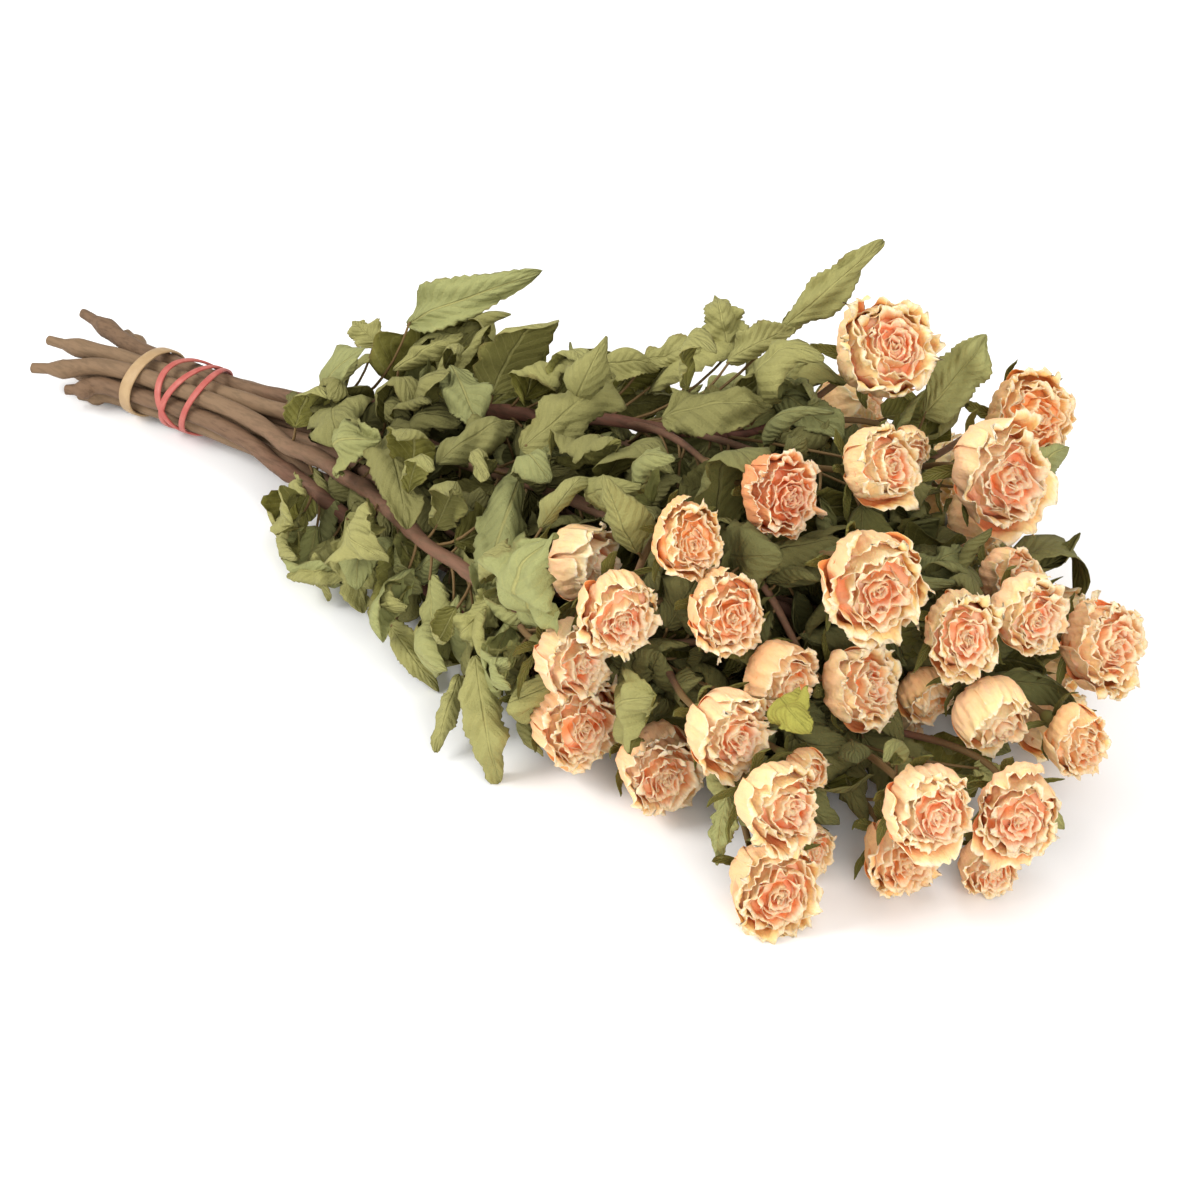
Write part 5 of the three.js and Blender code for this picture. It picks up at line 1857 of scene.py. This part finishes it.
@dataclass
class Rose:
    """A dried rose: thin petals in a spiral, from a tight heart to ruffled, curled-back outer ones.

    Attributes:
        head: its place.
        petals: the finish of its petals.
        longer, shorter: how much the head is drawn out one way and squashed the other way.
        bend: how far the whole head bends, in its radii.
        bend_waves: waves of that bend for each millimetre.
    """

    head: Head
    petals: Material
    longer: Pair = (1.0, 1.12)
    shorter: Pair = (0.88, 0.99)
    bend: float = 0.04
    bend_waves: float = 0.035

    @property
    def ways(self) -> tuple[Array, Array]:
        """The two directions square to the head's axis."""
        side = square_to(self.head.axis, vec((0, 0, 1)))
        return side, np.cross(self.head.axis, side)

    def build(self) -> None:
        """Makes the rose in the place of its node."""
        head = self.head
        skin = Skin(f"{head.node}_petals")
        self._core(skin)
        whorls = Stage[head.form.upper()].value
        orders = [(whorl, order) for whorl in whorls for order in range(whorl.petals)]
        for number, (whorl, order) in enumerate(orders):
            key = head.number * ITEM["petals"] + number
            turn = head.number + number * GOLDEN_ANGLE + between(PETAL["turn"], key, Trait.PETAL_PLACE)
            local, u, v = self._petal(whorl, order / (whorl.petals - 1), key)
            grid = self._placed(local, turn)
            thickness = PETAL["thickness"] - PETAL["thinner"] * v
            tint = np.array([head.warmth, draw(key, Trait.PETAL_TONE), number / len(orders)])
            skin.add_sheet(grid + self._warp(grid), thickness, u, v, tint)
        settle(skin.to_object(self.petals), "petals", [head.node])

    def _core(self, skin: Skin) -> None:
        """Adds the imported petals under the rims: a waved dome.

        Its height falls with the fourth power of the distance from the axis.

        Args:
            skin: what it is added to.
        """
        head = self.head
        side, across = self.ways
        u = np.linspace(-1, 1, CORE["around"])[None, :]
        r = np.linspace(CORE["hole"], 1, CORE["rings"])[:, None] * CORE["radius"]
        turn = u * math.pi
        height = CORE[head.form] - CORE["drop"] * (r / CORE["radius"]) ** 4
        ways = side * np.cos(turn)[..., None] + across * np.sin(turn)[..., None]
        local = ways * r[..., None] + head.axis * height[..., None]
        wave = Ripples(head.number + SEED["core"], CORE["frequency"])(local)
        local = local + head.axis * (wave * CORE["waves"])[..., None]
        grid = head.middle + local * head.radius
        tint = np.array([head.warmth, draw(head.number, Trait.CORE_TONE), CORE["layer"]])
        along = CORE["along"] + wave * CORE["waves"]
        skin.add_sheet(grid + self._warp(grid), CORE["thickness"], u, along, tint)

    def _warp(self, grid: Array) -> Array:
        """How far points move with the slow bend of the whole head, so that no rose is quite round."""
        waves = (Ripples(self.head.number * ITEM["warp"] + axis, self.bend_waves, 3) for axis in range(3))
        return together(*(wave(grid) for wave in waves)) * self.head.radius * self.bend

    def _placed(self, local: Array, turn: float) -> Array:
        """A petal's points turned to their place round the head, and squashed with it.

        Args:
            local: the points (out, aside, up), in the rose's radii.
            turn: the petal's angle round the head.

        Returns:
            The points in the layout.
        """
        head = self.head
        side, across = self.ways
        out = side * math.cos(turn) + across * math.sin(turn)
        flat = local[..., :1] * out + local[..., 1:2] * np.cross(head.axis, out)
        longer = between(self.longer, head.number, Trait.ROSE_LENGTH)
        shorter = between(self.shorter, head.number, Trait.ROSE_WIDTH)
        long = (flat @ side * longer)[..., None] * side
        short = (flat @ across * shorter)[..., None] * across
        return (long + short + local[..., 2:] * head.axis) * head.radius + head.middle

    def _petal(self, whorl: Whorl, t: float, key: int) -> tuple[Array, Array, Array]:
        """One petal, in shares of the rose's radius, with its middle on the first axis.

        Across, the petal is an arc about the rose's axis, which drifts in from one edge to the other.
        Its tip is rounded and notched, and it narrows to its foot.

        Args:
            whorl: the group that the petal is in.
            t: 0 for its innermost petal and 1 for its outermost.
            key: the petal's number, for its draws.

        Returns:
            The grid of points (out, aside, up), and the places across and along it.
        """
        rows, columns = whorl.grid
        u = np.linspace(-1, 1, columns)[None, :]
        v = np.linspace(0, 1, rows)[:, None] ** PETAL["crowding"]
        belly = mix(*whorl.belly, t) * between(PETAL["belly"], key, Trait.PETAL_BELLY)
        wave = mix(*whorl.ruffle, t)

        steady, ruffled = PETAL["notch"]
        along_rim = u[0][:, None] * PETAL["notch_span"] + key
        notch = Ripples(key, PETAL["notch_waves"], 4)(along_rim)[None, :] * (steady + ruffled * wave)
        reach = v * (1 - PETAL["corners"] * np.abs(u) ** 3.5 + notch * v**3)
        x = np.clip((reach - 0.5) / 0.5, 0, PETAL["past_tip"])
        out, up = self._middle_line(whorl, t, key, belly, reach, x)

        wrap = math.radians(mix(*whorl.wrap, t)) * between(PETAL["wrap"], key, Trait.PETAL_WRAP)
        foot, more = PETAL["foot_width"]
        broadens = foot + more * np.sin(np.pi / 2 * np.minimum(1, v / PETAL["broad_from"]))
        width = belly * wrap * broadens * (1 - PETAL["narrow_tip"] * x**2)
        steady, ruffled = PETAL["circle"]
        circle = np.maximum(out, belly * PETAL["least_circle"]) * (steady + ruffled * wave)
        spread = u * width / circle
        drift = u * mix(*PETAL["drift"], belly)
        radial = out - circle * (1 - np.cos(spread)) + drift
        grid = together(radial, circle * np.sin(spread), up)
        normal = unit(np.cross(np.gradient(grid, axis=1), np.gradient(grid, axis=0)))
        return grid + normal * self._waves(u, v, x, width, wave, key)[..., None], u, v

    @staticmethod
    def _waves(u: Array, v: Array, x: Array, width: Array, wave: float, key: int) -> Array:
        """How far a petal's sheet stands off its smooth form.

        Seeded waves ruffle its rim, crimp its edge, crinkle all of it and pleat it lengthwise. A
        crease points its tip, and its side edges roll back.

        Args:
            u, v: places across the petal and along it.
            x: places above the waist, from 0 there to 1 at the tip.
            width: half the petal's width at each place.
            wave: how far its rim waves.
            key: the petal's number, for its draws.

        Returns:
            Distances in the rose's radii.
        """
        across, along = PETAL["laid"]
        flat = together(u * width * across, v * along)
        rim = x**1.5
        ruffle = Ripples(key + 1, PETAL["ruffle_waves"])(flat) * rim * wave
        steady, ruffled = PETAL["crimp"]
        crimp = Ripples(key + 2, PETAL["crimp_waves"])(flat) * x**3.5 * (steady + wave * ruffled)
        steady, ruffled = PETAL["crinkle"]
        crinkle = Ripples(key + 3, PETAL["crinkle_waves"])(flat) * (steady + ruffled * wave)
        pleats = Ripples(key + 4, PETAL["pleat_waves"])(flat * PETAL["pleat_ways"]) * PETAL["pleats"]
        pleats = pleats * np.sqrt(np.minimum(x, 1))
        fold = np.abs(u) ** 4 * rim * wave * between(PETAL["fold"], key, Trait.PETAL_FOLD)
        crease = (PETAL["crease_width"] - np.abs(u)) * rim * wave
        crease = crease * between(PETAL["crease"], key, Trait.PETAL_CREASE)
        return ruffle + crimp + crinkle + pleats + fold + crease

    @staticmethod
    def _middle_line(
        whorl: Whorl, t: float, key: int, belly: float, reach: Array, x: Array,
    ) -> tuple[Array, Array]:
        """How far out and how high a petal's surface lies on its middle line.

        Up to its waist the line is a quarter of an ellipse. Above it the line leans and curls, and
        its place is the sum of small steps in the direction of its angle.

        Args:
            whorl, t, key: the petal's group, its place in it and its number.
            belly: how far out it stands at its waist.
            reach: how far up the petal each point lies, as a share of its length.
            x: the same above the waist, from 0 there to 1 at the tip.

        Returns:
            The distance from the rose's axis and the height along it.
        """
        waist = mix(*whorl.waist, t)
        wander = between((-whorl.spread, whorl.spread), key, Trait.PETAL_TIP)
        top = mix(*whorl.rim, t) + wander * PETAL["tip"]
        least, more = PETAL["root"]
        root, foot = least + more * belly, PETAL["foot"]
        lower = np.minimum(reach, 0.5)
        out = root + (belly - root) * np.sin(np.pi * lower)
        up = foot + (waist - foot) * (1 - np.cos(np.pi * lower))
        lean = mix(*whorl.lean, t) + between(PETAL["lean"], key, Trait.PETAL_LEAN) * whorl.spread
        curl = mix(*whorl.curl, t) * between(PETAL["curl"], key, Trait.PETAL_CURL)
        steps = np.linspace(0, PETAL["past_tip"], PETAL["steps"])
        angle = np.radians(lean * steps + curl * steps**5)
        run_out, run_up = (np.cumsum(part) * steps[1] for part in (np.sin(angle), np.cos(angle)))
        upper = (top - waist) / np.interp(1.0, steps, np.maximum.accumulate(run_up))
        out = out + upper * np.interp(x, steps, run_out - run_out[0])
        up = up + upper * np.interp(x, steps, run_up - run_up[0])
        return out, up


# -------- rubber bands
@dataclass
class RubberBand:
    """A rubber band wound round the stems.

    Attributes:
        node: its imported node.
        slot: the record's material slot.
        sizes: its place, width, thickness and turns.
        finish: its material.
        steps: rings in a turn.
        corners: points round its section.
        squareness: the powers that square the section's width and its thickness off.
        uneven: how much its width varies round a turn.
        softness: the part of a turn over which its path is evened out.
        flattened: how much wider the pressed band is than its packed ring.
    """

    node: str
    slot: str
    sizes: dict
    finish: Material
    steps: int = 160
    corners: int = 12
    squareness: Pair = (0.45, 0.6)
    uneven: float = 0.05
    softness: int = 7
    flattened: float = 1.25

    def build(self) -> None:
        """Makes the band's turns in the place of its node."""
        skin = Skin(f"{self.node}_turns")
        for number, (offset, lean, aim) in enumerate(self.sizes["turns"]):
            self._turn(skin, offset, lean, aim, number)
        settle(skin.to_object(self.finish), self.slot, [self.node])

    def _turn(self, skin: Skin, offset: float, lean: float, aim: float, number: int) -> None:
        """Adds one closed turn: a rounded flat section carried round the held stems.

        The path is the outline of the stems, moved out by half the band's thickness and leaning
        along them with the cosine of the angle from its aim.

        Args:
            skin: what it is added to.
            offset: how far along the stems it lies from the band's place.
            lean, aim: how far it leans along them, and the side, in degrees, where most.
            number: the turn's number, from which its width starts to vary.
        """
        width, thick = self.sizes["width"] * self.flattened, self.sizes["thickness"]
        angle = np.arange(self.steps) / self.steps * math.tau
        aims = np.stack([np.zeros_like(angle), np.cos(angle), np.sin(angle)], -1)
        path = self._outline(aims, STEM["radius"] + CLEARANCE + thick / 2)
        corner = np.arange(self.corners) / self.corners * math.tau
        flat, blunt = self.squareness
        over = np.sign(np.cos(corner)) * np.abs(np.cos(corner)) ** flat * width / 2
        out = np.sign(np.sin(corner)) * np.abs(np.sin(corner)) ** blunt * thick / 2
        x = self.sizes["x"] + offset + lean * np.cos(angle - math.radians(aim))
        stretch = 1 + self.uneven * np.sin(3 * angle + number)
        ring = path[:, None] + aims[:, None] * out[None, :, None]
        ring[..., 0] = x[:, None] + over[None] * stretch[:, None]
        ring[..., 2] += (ring[..., 0] - TIE["x"]) * TIE["slope"]
        skin.add_ring(ring)

    def _outline(self, aims: Array, distance: float) -> Array:
        """The outline of the held stems at a distance, filled out where it is flat.

        Args:
            aims: directions round the tie.
            distance: from the middle of an outer stem.

        Returns:
            A point for each direction.
        """
        seats = [
            seat_at(TIE["x"], row, seat) for row, count in enumerate(STEM["rows"]) for seat in range(count)
        ]
        seats = np.array(seats) * (0, 1, 1)
        middle = seats.mean(axis=0)
        hull = seats[np.argmax(aims @ seats.T, axis=1)] + aims * distance - middle
        reach = np.linalg.norm(hull, axis=1)
        turn = np.arctan2(hull[:, 2], hull[:, 1])
        even = np.arctan2(aims[:, 2], aims[:, 1])
        reach = np.interp(even, turn[np.argsort(turn)], reach[np.argsort(turn)], period=math.tau)
        half = 2 * self.softness
        window = range(-self.steps // half, self.steps // half + 1)
        soft = sum(np.roll(reach, shift) for shift in window) / len(window)
        return aims * soft[:, None] + middle


# -------- the studio
@dataclass(frozen=True)
class Lamp:
    """A square lamp that points at the bunch: its name, place and size in metres, and its power in watts."""

    name: str
    place: tuple[float, float, float]
    size: float
    power: float


@dataclass
class Studio:
    """A pale floor, soft light and the camera.

    Attributes:
        floor_size: metres along one side of the floor.
        sky: the strength of the pale sky.
        lamps: large soft lights from the left, from the front and from above.
    """

    floor_size: float = 8.0
    sky: float = 0.64
    lamps: tuple[Lamp, ...] = (
        Lamp("key_light", (-1.0, -1.2, 1.4), 0.9, 29.0),
        Lamp("fill_light", (1.5, -1.1, 1.1), 1.2, 26.0),
        Lamp("top_light", (0.2, 0.5, 1.9), 1.2, 12.0),
    )

    def build(self) -> None:
        """Makes the floor, the lights and the camera."""
        self._floor()
        self._lights()
        self._camera()

    def _floor(self) -> None:
        """A wide pale floor, with its middle under the bunch."""
        half = self.floor_size / 2
        mesh = bpy.data.meshes.new("floor")
        corners = [(-half, -half, 0), (half, -half, 0), (half, half, 0), (-half, half, 0)]
        mesh.from_pydata(corners, [], [(0, 1, 2, 3)])
        g = Graph("pale_floor")
        cloud = g.noise(g.spot(), 3.0, 2.0)
        colour = g.blend(cloud, (0.93, 0.93, 0.93, 1), (0.96, 0.96, 0.95, 1))
        mesh.materials.append(g.finish(Base_Color=colour, Roughness=0.9))
        floor = bpy.data.objects.new("floor", mesh)
        bpy.context.scene.collection.objects.link(floor)
        floor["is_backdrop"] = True

    def _lights(self) -> None:
        """A pale sky all round, and the lamps."""
        world = bpy.data.worlds.new("pale_sky")
        world.use_nodes = True
        background = world.node_tree.nodes["Background"]
        background.inputs["Color"].default_value = (1.0, 1.0, 1.0, 1.0)
        background.inputs["Strength"].default_value = self.sky
        bpy.context.scene.world = world
        for lamp in self.lamps:
            data = bpy.data.lights.new(lamp.name, "AREA")
            data.size = lamp.size
            data.energy = lamp.power
            light = bpy.data.objects.new(lamp.name, data)
            light.location = lamp.place
            light.rotation_euler = (-Vector(lamp.place)).to_track_quat("-Z", "Y").to_euler()
            bpy.context.scene.collection.objects.link(light)

    @staticmethod
    def _camera() -> None:
        """The camera at the photograph's angle and distance."""
        data = bpy.data.cameras.new("camera")
        data.lens = CAMERA["lens"]
        data.sensor_width = CAMERA["film"]
        data.sensor_fit = "HORIZONTAL"
        data.clip_end = 50.0
        camera = bpy.data.objects.new("camera", data)
        target = (vec(CAMERA["target"]) + SHIFT) * MM
        place = target + VIEW * CAMERA["distance"] * MM
        turn = math.radians(CAMERA["turn"])
        right = vec((math.cos(turn), math.sin(turn), 0))
        axes = np.stack([right, np.cross(VIEW, right), VIEW], axis=1)
        camera.matrix_world = Matrix.Translation(Vector(place)) @ Matrix(axes.tolist()).to_4x4()
        bpy.context.scene.collection.objects.link(camera)
        bpy.context.scene.camera = camera


def view_direction() -> Array:
    """The unit direction from the bunch towards the camera."""
    turn, height = math.radians(CAMERA["turn"]), math.radians(CAMERA["height"])
    return vec((math.sin(turn) * math.cos(height), -math.cos(turn) * math.cos(height), math.sin(height)))


VIEW = view_direction()


def write_sizes() -> None:
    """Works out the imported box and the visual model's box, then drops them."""
    boxes = {"cad": CAD_BOX, "visual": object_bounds()}
    {name: [list(corner) for corner in box] for name, box in boxes.items()}


def main() -> None:
    """Builds the bunch and its studio, and reports each piece."""
    logging.basicConfig(level=logging.INFO, format="%(name)s %(message)s", stream=sys.stdout)
    bpy.context.scene.view_settings.view_transform = "Standard"
    Studio().build()
    wood, leaf, petals = WoodFinish().build(), LeafFinish().build(), PetalFinish().build()
    natural, red = NATURAL_RUBBER.build(), RED_RUBBER.build()
    for name in STEMS:
        LeafyStem(name, wood, leaf).build()
    for head in HEADS:
        Rose(head, petals).build()
    RubberBand("rubber_band_natural", "natural_rubber", NATURAL_BAND, natural).build()
    RubberBand("rubber_band_red", "red_rubber", RED_BAND, red).build()
    write_sizes()


if __name__ == "__main__":
    main()
